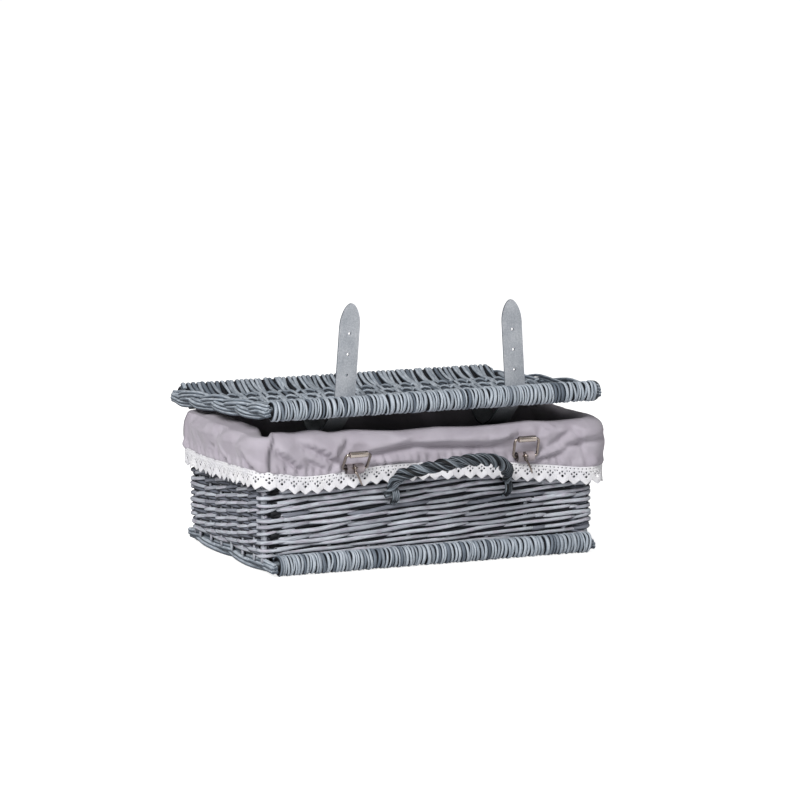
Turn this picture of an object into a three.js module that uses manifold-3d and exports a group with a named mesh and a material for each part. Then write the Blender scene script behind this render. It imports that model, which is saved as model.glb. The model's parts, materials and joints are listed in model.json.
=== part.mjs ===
// Small wicker suitcase: a willow basket with a cloth lining, a hinged lid, two leather straps
// with buckles and a twisted carrying handle. Millimetres, +Z up, the handle side faces -Y.
import * as THREE from 'three';
import { mergeVertices } from 'three/addons/utils/BufferGeometryUtils.js';
import Module from 'manifold-3d';

const wasm = await Module();
wasm.setup();

// Fits
const SEAT_GAP = 0.3;
const PIVOT_GAP = 0.35;

// Willow rolls: rods wrapped side by side round a stick
const ROLL_DIAMETER = 24;
const ROLL_RIB_DEPTH = 1.3;
const ROD_PITCH = 5.9;
const STICK_DIAMETER = 11;
const STICK_REVEAL = 3;

// Case plan: the walls set it, and the base and the lid follow them
const WALL_LENGTH = 396;
const WALL_DEPTH = 214;
const BASE_END_INSET = 12.5;
const BASE_TOE = 25;
const LID_END_INSET = 5.5;
const LID_DEPTH_OVER = 84;

// Base
const BASE_LENGTH = WALL_LENGTH - 2 * BASE_END_INSET;
const BASE_DEPTH = WALL_DEPTH + 2 * BASE_TOE;
const BASE_WEAVE_THICKNESS = 8;
const BASE_CROSS_STICKS = 4;

// Woven panels and their plaited end borders
const WEAVE_RELIEF = 1.2;
const PLAIT_WIDTH = 9;
const PLAIT_HEIGHT = 13;
const PLAIT_PITCH = 17;
const PLAIT_SWAY = 1;

// Walls
const WALL_HEIGHT = 122;
const WALL_THICKNESS = 7;
const WALL_RELIEF = 2.2;
const ROW_PITCH = 6.5;
const STAKE_PITCH = 49;
const CORNER_DIAMETER = 12.4;
const RIM_ROD_DIAMETER = 6;

// Cloth lining and its lace
const CLOTH_THICKNESS = 1.2;
const RIM_PUFF_HEIGHT = 6;
const SKIRT_OFFSET = 8;
const SKIRT_DROP = 40;
const SKIRT_FOLD_DEPTH = 2.2;
const SKIRT_FOLDS = 16;
const LINING_CORNER_RADIUS = 14;
const LACE_HEIGHT = 20;
const LACE_TOOTH_DEPTH = 7;
const LACE_TOOTH_PITCH = 12.5;
const LACE_THICKNESS = 0.8;

// Lid
const LID_LENGTH = WALL_LENGTH - 2 * LID_END_INSET;
const LID_DEPTH = WALL_DEPTH + LID_DEPTH_OVER;
const LID_WEAVE_THICKNESS = 8;
const LID_CROSS_STICKS = 3;
const LID_RIDGE_HEIGHT = 2.4;
const LID_ROW_REACH = 13;
const LID_ROD_SINK = 1.1;
const LID_ROD_SWING = 2;
const LID_AJAR_DEG = 4.4;
const LID_REAR_OVERHANG = 43;

// Leather hinge loops at the back
const HINGE_STICK_DIAMETER = 8;
const HINGE_RISE = 2;
const HINGE_SPACING = 230;
const HINGE_TAB_WIDTH = 20;
const HINGE_SLIT_DROP = 28;
const LEATHER_THICKNESS = 2.4;

// Straps
const STRAP_SPACING = 204;
const STRAP_CENTRE_X = 8;
const STRAP_WIDTH = 25;
const STRAP_FREE_LENGTH = 98;
const STRAP_TIP_LENGTH = 15;
const STRAP_HOLE_DIAMETER = 4.2;
const STRAP_HOLE_PITCH = 22.5;
const STRAP_HOLE_COUNT = 3;
const STRAP_FIRST_HOLE = 33;
const STRAP_SLIT_SETBACK = 14;
const STRAP_SLIT_CLEARANCE = 1;
const STRAP_STANDOFF = 2;
const STRAP_SLACK_DEPTH = 17;
const STRAP_SLACK_LENGTH = 74;

// Buckles
const BUCKLE_WIDTH = 32;
const BUCKLE_WIRE = 3.2;
const BUCKLE_REACH = 21;
const BUCKLE_TAB_WIDTH = 20;
const BUCKLE_TAB_SLIT = 6.4;
const BUCKLE_TAB_RISE = 3.6;
const BUCKLE_LEAN_DEG = [35, 15];
const ROLLER_DIAMETER = 7.2;
const ROLLER_LENGTH = 21;
const PRONG_DIAMETER = 2.6;
const PRONG_EYE_WIDTH = 5;

// Carrying handle
const HANDLE_SPAN = 120;
const HANDLE_CENTRE_X = 18;
const HANDLE_DIAMETER = 16;
const HANDLE_REACH = 66;
const HANDLE_LIFT_DEG = 38;
const HANDLE_PIN_LENGTH = 18;
const LASHING_THICKNESS = 2.5;
const LASHING_WIDTH = 9;

// Heights and faces that several pieces share
const rollRadius = ROLL_DIAMETER / 2;
const baseWeaveTop = rollRadius + BASE_WEAVE_THICKNESS / 2 + WEAVE_RELIEF;
const wallBottom = baseWeaveTop + SEAT_GAP;
const wallTop = wallBottom + WALL_HEIGHT;
const rimTop = wallTop + SEAT_GAP + RIM_ROD_DIAMETER;
const liningTop = rimTop + SEAT_GAP + RIM_PUFF_HEIGHT;
const skirtHem = liningTop - SKIRT_DROP;
const wallHalfX = WALL_LENGTH / 2;
const wallHalfY = WALL_DEPTH / 2;
const skirtFaceY = wallHalfY + SKIRT_OFFSET;

// Lid axis: the hinge stick turns in leather loops behind the lining's skirt
const hingeLoopRadius = HINGE_STICK_DIAMETER / 2 + PIVOT_GAP + LEATHER_THICKNESS;
const hingeY = skirtFaceY + SEAT_GAP + hingeLoopRadius;
const hingeZ = liningTop + HINGE_RISE;
const lidBackRollY = LID_REAR_OVERHANG - rollRadius;
const lidFrontRollY = lidBackRollY - (LID_DEPTH - ROLL_DIAMETER);
const lidWeaveDepth = LID_DEPTH - 2 * (ROLL_DIAMETER + SEAT_GAP);
const lidWeaveBackY = lidBackRollY - rollRadius - SEAT_GAP;
const lidWeaveHalf = LID_WEAVE_THICKNESS / 2 + WEAVE_RELIEF;
const swellAtHinge = WEAVE_RELIEF * Math.min(1, lidWeaveBackY * (LID_CROSS_STICKS + 1) / lidWeaveDepth);
const lidPlane = LID_WEAVE_THICKNESS / 2 + swellAtHinge + SEAT_GAP + HINGE_STICK_DIAMETER / 2;
const strapXs = [STRAP_CENTRE_X - STRAP_SPACING / 2, STRAP_CENTRE_X + STRAP_SPACING / 2];
const strapSlitY = lidFrontRollY + rollRadius + STRAP_SLIT_SETBACK;
const sides = ['left', 'right'];

const material = (color, roughness, metalness = 0) =>
  new THREE.MeshStandardMaterial({ color, roughness, metalness });
const willow = () => material(0x8d939a, 0.75);
const darkWillow = () => material(0x565c66, 0.8);
const cotton = () => material(0x8c8590, 0.95);
const lace = () => material(0xe9e5e1, 0.95);
const leather = () => material(0x8f8c92, 0.7);
const plated = () => material(0xb5a98c, 0.35, 1);

// Triangles as a geometry, turned so that its faces point out
function solidFrom(points, triangles) {
  let volume = 0;
  for (const [a, b, c] of triangles) {
    volume += points[a].dot(points[b].clone().cross(points[c]));
  }
  const faces = volume > 0 ? triangles : triangles.map(([a, b, c]) => [a, c, b]);
  const geometry = new THREE.BufferGeometry();
  geometry.setAttribute('position',
    new THREE.Float32BufferAttribute(points.flatMap((p) => [p.x, p.y, p.z]), 3));
  geometry.setIndex(faces.flat());
  return geometry;
}

// Corner triples that cover a flat end ring, seen along its main normal
function ringCap(ring) {
  const normal = new THREE.Vector3();
  ring.forEach((p, i) => normal.add(p.clone().cross(ring[(i + 1) % ring.length])));
  const axes = ['x', 'y', 'z'].sort((m, n) => Math.abs(normal[m]) - Math.abs(normal[n]));
  const outline = ring.map((p) => new THREE.Vector2(p[axes[0]], p[axes[1]]));
  const flipped = THREE.ShapeUtils.area(outline) < 0;
  const faces = THREE.ShapeUtils.triangulateShape(flipped ? outline.slice().reverse() : outline, []);
  const last = ring.length - 1;
  return flipped ? faces.map(([a, b, c]) => [last - c, last - b, last - a]) : faces;
}

// Closed solid through rings with the same number of points; ends are capped or joined in a loop
function loft(rings, { loop = false, fanCaps = false } = {}) {
  const points = rings.flat();
  const size = rings[0].length;
  const triangles = [];
  const spans = loop ? rings.length : rings.length - 1;
  for (let i = 0; i < spans; i += 1) {
    const here = i * size;
    const next = ((i + 1) % rings.length) * size;
    for (let j = 0; j < size; j += 1) {
      const k = (j + 1) % size;
      triangles.push([here + j, here + k, next + k], [here + j, next + k, next + j]);
    }
  }
  if (!loop) {
    const ends = [[rings[0], 0, true], [rings.at(-1), (rings.length - 1) * size, false]];
    for (const [ring, start, reverse] of ends) {
      let cap = fanCaps ? null : ringCap(ring).map((face) => face.map((n) => start + n));
      if (fanCaps) {
        const centre = ring.reduce((sum, p) => sum.add(p), new THREE.Vector3());
        points.push(centre.divideScalar(size));
        cap = ring.map((_, j) => [points.length - 1, start + j, start + ((j + 1) % size)]);
      }
      const ahead = cap.some(([a, b]) => b === start + ((a - start + 1) % size) && a < b);
      const forward = fanCaps || ahead;
      const turn = reverse === forward;
      triangles.push(...(turn ? cap.map(([a, b, c]) => [a, c, b]) : cap));
    }
  }
  return solidFrom(points, triangles);
}

// Boolean solids
function toManifold(geometry) {
  const bare = geometry.clone();
  bare.deleteAttribute('normal');
  bare.deleteAttribute('uv');
  const merged = mergeVertices(bare, 1e-4);
  return new wasm.Manifold(new wasm.Mesh({
    numProp: 3,
    vertProperties: Float32Array.from(merged.attributes.position.array),
    triVerts: Uint32Array.from(merged.index.array),
  }));
}

function fromManifold(solid) {
  const mesh = solid.getMesh();
  const geometry = new THREE.BufferGeometry();
  geometry.setAttribute('position', new THREE.BufferAttribute(Float32Array.from(mesh.vertProperties), 3));
  geometry.setIndex(Array.from(mesh.triVerts));
  return geometry;
}

const unite = (...pieces) =>
  fromManifold(pieces.map(toManifold).reduce((whole, piece) => whole.add(piece)));
const cut = (body, ...tools) =>
  fromManifold(tools.map(toManifold).reduce((rest, tool) => rest.subtract(tool), toManifold(body)));

// Box given by its lowest and highest corners
function boxBetween(low, high) {
  const size = high.map((value, i) => value - low[i]);
  const box = new THREE.BoxGeometry(...size);
  return box.translate(...low.map((value, i) => value + size[i] / 2));
}

// Round bar along X, centred on its own middle
const barAlongX = (diameter, length, facets = 10) =>
  new THREE.CylinderGeometry(diameter / 2, diameter / 2, length, facets).rotateZ(Math.PI / 2);

// Outline in the Y-Z plane drawn as (y, z), pushed along X about x = 0
const pushAlongX = (shape, width, curveSegments = 10) =>
  new THREE.ExtrudeGeometry(shape, { depth: width, bevelEnabled: false, curveSegments })
    .translate(0, 0, -width / 2)
    .applyMatrix4(new THREE.Matrix4().makeBasis(
      new THREE.Vector3(0, 1, 0), new THREE.Vector3(0, 0, 1), new THREE.Vector3(1, 0, 0)));

// Ring of leather or wire round a bar that runs along X
function eye(innerRadius, outerRadius, width) {
  const shape = new THREE.Shape().absarc(0, 0, outerRadius, 0, Math.PI * 2);
  shape.holes.push(new THREE.Path().absarc(0, 0, innerRadius, 0, Math.PI * 2));
  return pushAlongX(shape, width, 6);
}

// Flat band of the given width that follows (y, z) points
function band(path, width, thickness) {
  const rings = path.map((point, i) => {
    const before = path[Math.max(i - 1, 0)];
    const after = path[Math.min(i + 1, path.length - 1)];
    const along = after.clone().sub(before).normalize();
    const side = new THREE.Vector2(-along.y, along.x).multiplyScalar(thickness / 2);
    const corner = (x, sign) =>
      new THREE.Vector3(x, point.x + sign * side.x, point.y + sign * side.y);
    return [corner(-width / 2, 1), corner(width / 2, 1), corner(width / 2, -1), corner(-width / 2, -1)];
  });
  return loft(rings);
}

const suitcase = new THREE.Group();
const lid = new THREE.Group();
lid.position.set(0, hingeY, hingeZ);
lid.rotation.x = -THREE.MathUtils.degToRad(LID_AJAR_DEG);
suitcase.add(lid);

function addPart(parent, name, geometry, finish, position = [0, 0, 0]) {
  const mesh = new THREE.Mesh(geometry, finish);
  mesh.name = name;
  mesh.position.set(...position);
  parent.add(mesh);
  return mesh;
}

// Wrapped roll along X: one rib for each rod, hollow for its stick, with a flat foot if it stands
function wrappedRoll(length, standing) {
  const ribs = Math.round(length / ROD_PITCH);
  const step = length / (ribs * 2);
  const facets = standing ? 7 : 6;
  const turn = Math.PI * 2 / facets;
  const rings = Array.from({ length: ribs * 2 + 1 }, (_, i) => {
    const radius = i % 2 ? rollRadius : rollRadius - ROLL_RIB_DEPTH;
    return Array.from({ length: facets }, (_, j) => {
      const angle = Math.PI / 2 + j * turn;
      const low = standing && Math.sin(angle) < -Math.cos(turn / 2) + 0.01;
      const z = low ? -rollRadius : radius * Math.sin(angle);
      return new THREE.Vector3(-length / 2 + i * step, radius * Math.cos(angle), z);
    });
  });
  const socket = barAlongX(STICK_DIAMETER + 2 * SEAT_GAP, length + ROD_PITCH);
  return cut(loft(rings), socket);
}

// Flat woven panel: rods run along Y and ride over and under sticks that run along X
function wovenPanel(length, depth, thickness, crossSticks) {
  const columns = Math.round(length / (ROD_PITCH * 2));
  const rows = crossSticks + 1;
  const relief = (i, j) => {
    const edge = i === 0 || i === columns || j === 0 || j === rows;
    return edge ? 0 : WEAVE_RELIEF * ((i + j) % 2 ? 1 : -1);
  };
  const rings = Array.from({ length: columns + 1 }, (_, i) => {
    const x = -length / 2 + length * i / columns;
    const y = (j) => -depth / 2 + depth * j / rows;
    const numbers = Array.from({ length: rows + 1 }, (_, j) => j);
    const top = numbers.map((j) => new THREE.Vector3(x, y(j), thickness / 2 + relief(i, j)));
    const bottom = numbers.map((j) => new THREE.Vector3(x, y(j), -thickness / 2 + relief(i, j)));
    return [...top, ...bottom.reverse()];
  });
  return loft(rings);
}

// Woven panel with high relief on its face: rods in pairs pass over and under twined rows
function pairedPanel(length, depth, thickness, crossSticks) {
  const pairs = Math.round(length / (ROD_PITCH * 2));
  const face = thickness / 2;
  const bay = depth / (crossSticks + 1);
  const ringAt = (x, pair) => {
    const inner = pair >= 0 && pair < pairs;
    const sign = (row) => (inner ? ((pair + row) % 2 ? -1 : 1) : 0);
    const top = [[-depth / 2, face + LID_RIDGE_HEIGHT]];
    const bottom = [[-depth / 2, -face]];
    for (let row = 0; row < crossSticks; row += 1) {
      const y = -depth / 2 + bay * (row + 1);
      const beside = face - LID_ROD_SINK + LID_ROD_SWING * sign(row);
      top.push([y - LID_ROW_REACH, beside], [y, face + LID_RIDGE_HEIGHT], [y + LID_ROW_REACH, beside]);
      if (row < crossSticks - 1) top.push([y + bay / 2, face - LID_ROD_SINK]);
      bottom.push([y, -face + WEAVE_RELIEF * sign(row)]);
    }
    top.push([depth / 2, face + LID_RIDGE_HEIGHT]);
    bottom.push([depth / 2, -face]);
    return [...top, ...bottom.reverse()].map(([y, z]) => new THREE.Vector3(x, y, z));
  };
  const inside = Array.from({ length: pairs }, (_, k) =>
    ringAt(-length / 2 + length * (k + 0.5) / pairs, k));
  return loft([ringAt(-length / 2, -1), ...inside, ringAt(length / 2, pairs)]);
}

// Plaited border along Y: strands swell and cross at a steady pitch
function plait(length) {
  const rings = Math.round(length / PLAIT_PITCH) * 2;
  const facets = 6;
  return loft(Array.from({ length: rings + 1 }, (_, i) => {
    const swell = i % 2 ? 1 : 0.78;
    const sway = PLAIT_SWAY * Math.sin(i * Math.PI / 2);
    return Array.from({ length: facets }, (_, j) => {
      const angle = Math.PI * 2 * (j + 0.5) / facets;
      return new THREE.Vector3(
        PLAIT_WIDTH / 2 * swell * Math.cos(angle),
        -length / 2 + length * i / rings,
        PLAIT_HEIGHT / 2 * swell * Math.sin(angle) + sway);
    });
  }));
}

// Base: two rolls on sticks, the weave between them and a plait across each end
function addBase() {
  const rollY = BASE_DEPTH / 2 - rollRadius;
  const weaveDepth = 2 * (rollY - rollRadius - SEAT_GAP);
  for (const [end, sign] of [['front', -1], ['back', 1]]) {
    const place = [0, sign * rollY, rollRadius];
    addPart(suitcase, `base_${end}_roll`, wrappedRoll(BASE_LENGTH, true), willow(), place);
    const stick = barAlongX(STICK_DIAMETER, BASE_LENGTH + 2 * STICK_REVEAL);
    addPart(suitcase, `base_${end}_stick`, stick, darkWillow(), place);
  }
  const weave = wovenPanel(BASE_LENGTH, weaveDepth, BASE_WEAVE_THICKNESS, BASE_CROSS_STICKS);
  addPart(suitcase, 'base_weave', weave, willow(), [0, 0, rollRadius]);
  const plaitX = BASE_LENGTH / 2 + SEAT_GAP + PLAIT_WIDTH / 2;
  const plaitZ = baseWeaveTop - PLAIT_HEIGHT / 2 - PLAIT_SWAY;
  const plaitLength = 2 * (rollY - STICK_DIAMETER / 2 - SEAT_GAP);
  for (const [i, side] of sides.entries()) {
    addPart(suitcase, `base_${side}_plait`, plait(plaitLength), willow(),
      [i ? plaitX : -plaitX, 0, plaitZ]);
  }
}

// Wall of rod rows along X that ride in and out of its stakes; the outer face looks to -Y
function wovenWall(length) {
  const rows = Math.round(WALL_HEIGHT / ROW_PITCH);
  const bays = Math.max(2, Math.round(length / STAKE_PITCH));
  const rings = Array.from({ length: bays + 1 }, (_, i) => {
    const x = -length / 2 + length * i / bays;
    const face = Array.from({ length: rows * 2 + 1 }, (_, j) => {
      const row = (j - 1) / 2;
      const over = (i + row) % 2 === 0;
      const inset = j % 2 ? (over ? 0 : WALL_RELIEF * 0.45) : WALL_RELIEF;
      return new THREE.Vector3(x, -WALL_THICKNESS + inset, WALL_HEIGHT * j / (rows * 2));
    });
    return [...face, new THREE.Vector3(x, 0, WALL_HEIGHT), new THREE.Vector3(x, 0, 0)];
  });
  return loft(rings);
}

// Corner column where the rods turn round the corner stake
function cornerColumn() {
  const turns = Math.round(WALL_HEIGHT / ROW_PITCH / 2);
  const facets = 8;
  return loft(Array.from({ length: turns * 2 + 1 }, (_, i) => {
    const radius = CORNER_DIAMETER / 2 - (i % 2 ? 0 : WALL_RELIEF / 2);
    return Array.from({ length: facets }, (_, j) => {
      const angle = Math.PI * 2 * (j + 0.5) / facets;
      return new THREE.Vector3(
        radius * Math.cos(angle), radius * Math.sin(angle), WALL_HEIGHT * i / (turns * 2));
    });
  }));
}

// Four walls, four corners and the rods that finish the rim
function addWalls() {
  const cornerInset = CORNER_DIAMETER / 2;
  const longSpan = WALL_LENGTH - 2 * (CORNER_DIAMETER + SEAT_GAP);
  const shortSpan = WALL_DEPTH - 2 * (CORNER_DIAMETER + SEAT_GAP);
  const walls = [
    ['front', longSpan, 0, -1, 0], ['right', shortSpan, 1, 0, Math.PI / 2],
    ['back', longSpan, 0, 1, Math.PI], ['left', shortSpan, -1, 0, -Math.PI / 2],
  ];
  for (const [name, span, alongX, alongY, turn] of walls) {
    const place = [
      alongX * (wallHalfX - WALL_THICKNESS), alongY * (wallHalfY - WALL_THICKNESS), wallBottom];
    addPart(suitcase, `${name}_wall`, wovenWall(span), willow(), place).rotation.z = turn;
    const rod = barAlongX(RIM_ROD_DIAMETER, span, 8);
    const middle = WALL_THICKNESS / 2;
    const rodPlace = [alongX * (wallHalfX - middle), alongY * (wallHalfY - middle),
      wallTop + SEAT_GAP + RIM_ROD_DIAMETER / 2];
    addPart(suitcase, `${name}_rim_rod`, rod, willow(), rodPlace).rotation.z = turn;
  }
  for (const [end, y] of [['front', -1], ['back', 1]]) {
    for (const [i, side] of sides.entries()) {
      addPart(suitcase, `${end}_${side}_corner`, cornerColumn(), willow(),
        [(i ? 1 : -1) * (wallHalfX - cornerInset), y * (wallHalfY - cornerInset), wallBottom]);
    }
  }
}

// Point at a distance along a rounded rectangle, with its outward direction
function onRoundedRectangle(halfX, halfY, radius, share) {
  const straightX = 2 * (halfX - radius);
  const straightY = 2 * (halfY - radius);
  const quarter = radius * Math.PI / 2;
  let rest = share * 2 * (straightX + straightY + 2 * quarter);
  let centre = new THREE.Vector2(-halfX + radius, -halfY + radius);
  let heading = 0;
  for (const straight of [straightX, straightY, straightX, straightY]) {
    const along = new THREE.Vector2(Math.cos(heading), Math.sin(heading));
    const out = new THREE.Vector2(along.y, -along.x);
    if (rest <= straight) {
      return { point: centre.clone().addScaledVector(along, rest).addScaledVector(out, radius), out };
    }
    rest -= straight;
    centre = centre.clone().addScaledVector(along, straight);
    if (rest <= quarter) {
      out.rotateAround(new THREE.Vector2(), rest / radius);
      return { point: centre.clone().addScaledVector(out, radius), out };
    }
    rest -= quarter;
    heading += Math.PI / 2;
  }
  const out = new THREE.Vector2(0, -1);
  return { point: centre.clone().addScaledVector(out, radius), out };
}

// Loop round the basket at an offset from the wall's outer face
function liningLoop(offset, z, folds, points) {
  const halfX = wallHalfX + offset;
  const halfY = wallHalfY + offset;
  const radius = LINING_CORNER_RADIUS;
  return Array.from({ length: points }, (_, i) => {
    const share = i / points;
    const { point, out } = onRoundedRectangle(halfX, halfY, radius, share);
    const wave = folds * SKIRT_FOLD_DEPTH * (Math.cos(share * Math.PI * 2 * SKIRT_FOLDS) - 1) / 2;
    return new THREE.Vector3(point.x + out.x * wave, point.y + out.y * wave, z);
  });
}

// Cloth bag: floor, inner walls, puffed fold over the rim, hanging skirt and back again inside
function addLining() {
  const bagOut = -WALL_THICKNESS - SEAT_GAP;
  const bagIn = bagOut - CLOTH_THICKNESS;
  const floor = baseWeaveTop + SEAT_GAP;
  const skirtIn = SKIRT_OFFSET - CLOTH_THICKNESS;
  const underPuff = rimTop + SEAT_GAP;
  const section = [
    [bagIn, floor + CLOTH_THICKNESS, 0], [bagIn, wallTop, 0],
    [bagIn - 1, rimTop, 0], [bagIn + 3, liningTop - 1.2, 0],
    [0, liningTop, 0], [SKIRT_OFFSET - 2, liningTop - 3.5, 0], [SKIRT_OFFSET, rimTop - 3, 0],
    [SKIRT_OFFSET, (rimTop + skirtHem) / 2, 0.4], [SKIRT_OFFSET, skirtHem, 1],
    [skirtIn, skirtHem, 1], [skirtIn, (rimTop + skirtHem) / 2, 0.4], [skirtIn - 1, rimTop - 4, 0],
    [1.5, underPuff, 0], [bagOut, underPuff, 0], [bagOut, floor, 0],
  ];
  const points = SKIRT_FOLDS * 3;
  const bag = loft(section.map(([offset, z, folds]) => liningLoop(offset, z, folds, points)),
    { fanCaps: true });
  const slit = (x, width, y, z) => boxBetween(
    [x - width / 2 - SEAT_GAP, Math.min(y, y + Math.sign(y) * 12), z - SEAT_GAP],
    [x + width / 2 + SEAT_GAP, Math.max(y, y + Math.sign(y) * 12), z + LEATHER_THICKNESS + SEAT_GAP]);
  const slits = [
    ...strapXs.map((x) => slit(x, BUCKLE_TAB_WIDTH, -wallHalfY - SEAT_GAP, buckleTabZ)),
    ...hingeXs.map((x) => slit(x, HINGE_TAB_WIDTH, wallHalfY + SEAT_GAP, hingeSlitZ)),
  ];
  addPart(suitcase, 'lining', cut(bag, ...slits), cotton());

  const teeth = Math.round(4 * (wallHalfX + wallHalfY + SKIRT_OFFSET) / LACE_TOOTH_PITCH / 4) * 4;
  const top = skirtHem - SEAT_GAP;
  const laceOut = liningLoop(SKIRT_OFFSET, top, 1, teeth * 2);
  const laceIn = liningLoop(SKIRT_OFFSET - LACE_THICKNESS, top, 1, teeth * 2);
  const rings = laceOut.map((outer, i) => {
    const edge = top - LACE_HEIGHT + (i % 2 ? 0 : LACE_TOOTH_DEPTH);
    return [outer, new THREE.Vector3(outer.x, outer.y, edge), laceIn[i]];
  });
  addPart(suitcase, 'lace_edging', loft(rings, { loop: true }), lace());
}

// Leather loops that hold the lid's hinge stick to the back wall
const hingeXs = [-HINGE_SPACING / 2, HINGE_SPACING / 2];
const hingeSlitZ = hingeZ - HINGE_SLIT_DROP;

function addHingeLoops() {
  const bore = HINGE_STICK_DIAMETER / 2 + PIVOT_GAP;
  const half = HINGE_TAB_WIDTH / 2;
  for (const [i, side] of sides.entries()) {
    const loop = unite(
      eye(bore, hingeLoopRadius, HINGE_TAB_WIDTH),
      boxBetween([-half, -hingeLoopRadius, -HINGE_SLIT_DROP], [half, -bore, 0]),
      boxBetween([-half, wallHalfY + SEAT_GAP - hingeY, -HINGE_SLIT_DROP],
        [half, -bore, -HINGE_SLIT_DROP + LEATHER_THICKNESS]));
    addPart(suitcase, `hinge_loop_${side}`, loop, leather(), [hingeXs[i], hingeY, hingeZ]);
  }
}

// Lid: rolls on sticks, weave with slits, end plaits and the hinge stick under its back edge
function addLid() {
  for (const [end, y] of [['front', lidFrontRollY], ['back', lidBackRollY]]) {
    addPart(lid, `lid_${end}_roll`, wrappedRoll(LID_LENGTH, false), willow(), [0, y, lidPlane]);
    const stick = barAlongX(STICK_DIAMETER, LID_LENGTH + 2 * STICK_REVEAL);
    addPart(lid, `lid_${end}_stick`, stick, darkWillow(), [0, y, lidPlane]);
  }
  const middleY = (lidFrontRollY + lidBackRollY) / 2;
  const weave = pairedPanel(LID_LENGTH, lidWeaveDepth, LID_WEAVE_THICKNESS, LID_CROSS_STICKS);
  const loopRoom = hingeLoopRadius + PIVOT_GAP;
  const hingeSlots = hingeXs.map((x) => boxBetween(
    [x - HINGE_TAB_WIDTH / 2 - 1, -loopRoom, 0], [x + HINGE_TAB_WIDTH / 2 + 1, loopRoom, 2 * lidPlane]));
  const strapSlits = strapXs.map((x) => boxBetween(
    [x - STRAP_WIDTH / 2 - SEAT_GAP, strapSlitY - LEATHER_THICKNESS / 2 - STRAP_SLIT_CLEARANCE, 0],
    [x + STRAP_WIDTH / 2 + SEAT_GAP, strapSlitY + LEATHER_THICKNESS / 2 + STRAP_SLIT_CLEARANCE, 2 * lidPlane]));
  const placed = weave.translate(0, middleY, lidPlane);
  addPart(lid, 'lid_weave', cut(placed, ...hingeSlots, ...strapSlits), willow());

  const plaitX = LID_LENGTH / 2 + SEAT_GAP + PLAIT_WIDTH / 2;
  const plaitLength = LID_DEPTH - ROLL_DIAMETER - STICK_DIAMETER - 2 * SEAT_GAP;
  for (const [i, side] of sides.entries()) {
    addPart(lid, `lid_${side}_plait`, plait(plaitLength), willow(),
      [i ? plaitX : -plaitX, middleY, lidPlane]);
  }
  addPart(lid, 'hinge_stick', barAlongX(HINGE_STICK_DIAMETER, LID_LENGTH), darkWillow());
}

// Straps: slack under the lid, then through a slit to a free tail that stands on its bend
function addStraps() {
  const bendZ = lidPlane + lidWeaveHalf + STRAP_STANDOFF;
  const tailRoot = LEATHER_THICKNESS / 3;
  const rootSweep = Math.hypot(tailRoot, LEATHER_THICKNESS / 2);
  const underside = lidPlane - lidWeaveHalf;
  const slack = new THREE.CatmullRomCurve3([
    [0, bendZ - rootSweep - SEAT_GAP], [0, lidPlane], [0, underside - 1],
    [STRAP_SLACK_LENGTH * 0.16, underside - STRAP_SLACK_DEPTH * 0.6],
    [STRAP_SLACK_LENGTH * 0.4, underside - STRAP_SLACK_DEPTH],
    [STRAP_SLACK_LENGTH * 0.75, underside - STRAP_SLACK_DEPTH * 0.4],
    [STRAP_SLACK_LENGTH, underside - LEATHER_THICKNESS],
    [STRAP_SLACK_LENGTH + STRAP_WIDTH, underside - LEATHER_THICKNESS / 2 - SEAT_GAP],
  ].map(([y, z]) => new THREE.Vector3(strapSlitY + y, z, 0)), false, 'centripetal');
  const path = slack.getSpacedPoints(26).map((p) => new THREE.Vector2(p.x, p.y));

  const half = STRAP_WIDTH / 2;
  const shoulder = STRAP_FREE_LENGTH - STRAP_TIP_LENGTH;
  const outline = new THREE.Shape();
  outline.moveTo(-half, -tailRoot);
  outline.lineTo(half, -tailRoot);
  outline.lineTo(half, shoulder);
  outline.quadraticCurveTo(half, STRAP_FREE_LENGTH - 1, 0, STRAP_FREE_LENGTH);
  outline.quadraticCurveTo(-half, STRAP_FREE_LENGTH - 1, -half, shoulder);
  for (let hole = 0; hole < STRAP_HOLE_COUNT; hole += 1) {
    const z = STRAP_FREE_LENGTH - STRAP_FIRST_HOLE - hole * STRAP_HOLE_PITCH;
    outline.holes.push(new THREE.Path().absarc(0, z, STRAP_HOLE_DIAMETER / 2, 0, Math.PI * 2));
  }
  for (const [i, side] of sides.entries()) {
    addPart(lid, `strap_slack_${side}`, band(path, STRAP_WIDTH, LEATHER_THICKNESS), leather(),
      [strapXs[i], 0, 0]);
    const tail = new THREE.ExtrudeGeometry(outline,
      { depth: LEATHER_THICKNESS, bevelEnabled: false, curveSegments: 5 });
    tail.translate(0, 0, -LEATHER_THICKNESS / 2).rotateX(Math.PI / 2);
    addPart(lid, `strap_tail_${side}`, tail, leather(), [strapXs[i], strapSlitY, bendZ]);
  }
}

// Buckles: a leather tab from the wall, a wire frame on its loop, a roller and a hanging prong
const barClear = BUCKLE_WIRE / 2 * Math.SQRT2 + PIVOT_GAP;
const buckleLoopRadius = barClear + LEATHER_THICKNESS;
const buckleTabZ = skirtHem + BUCKLE_TAB_RISE;
const buckleBarY = -(skirtFaceY + SEAT_GAP + buckleLoopRadius);
const buckleBarZ = buckleTabZ - barClear;

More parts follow.
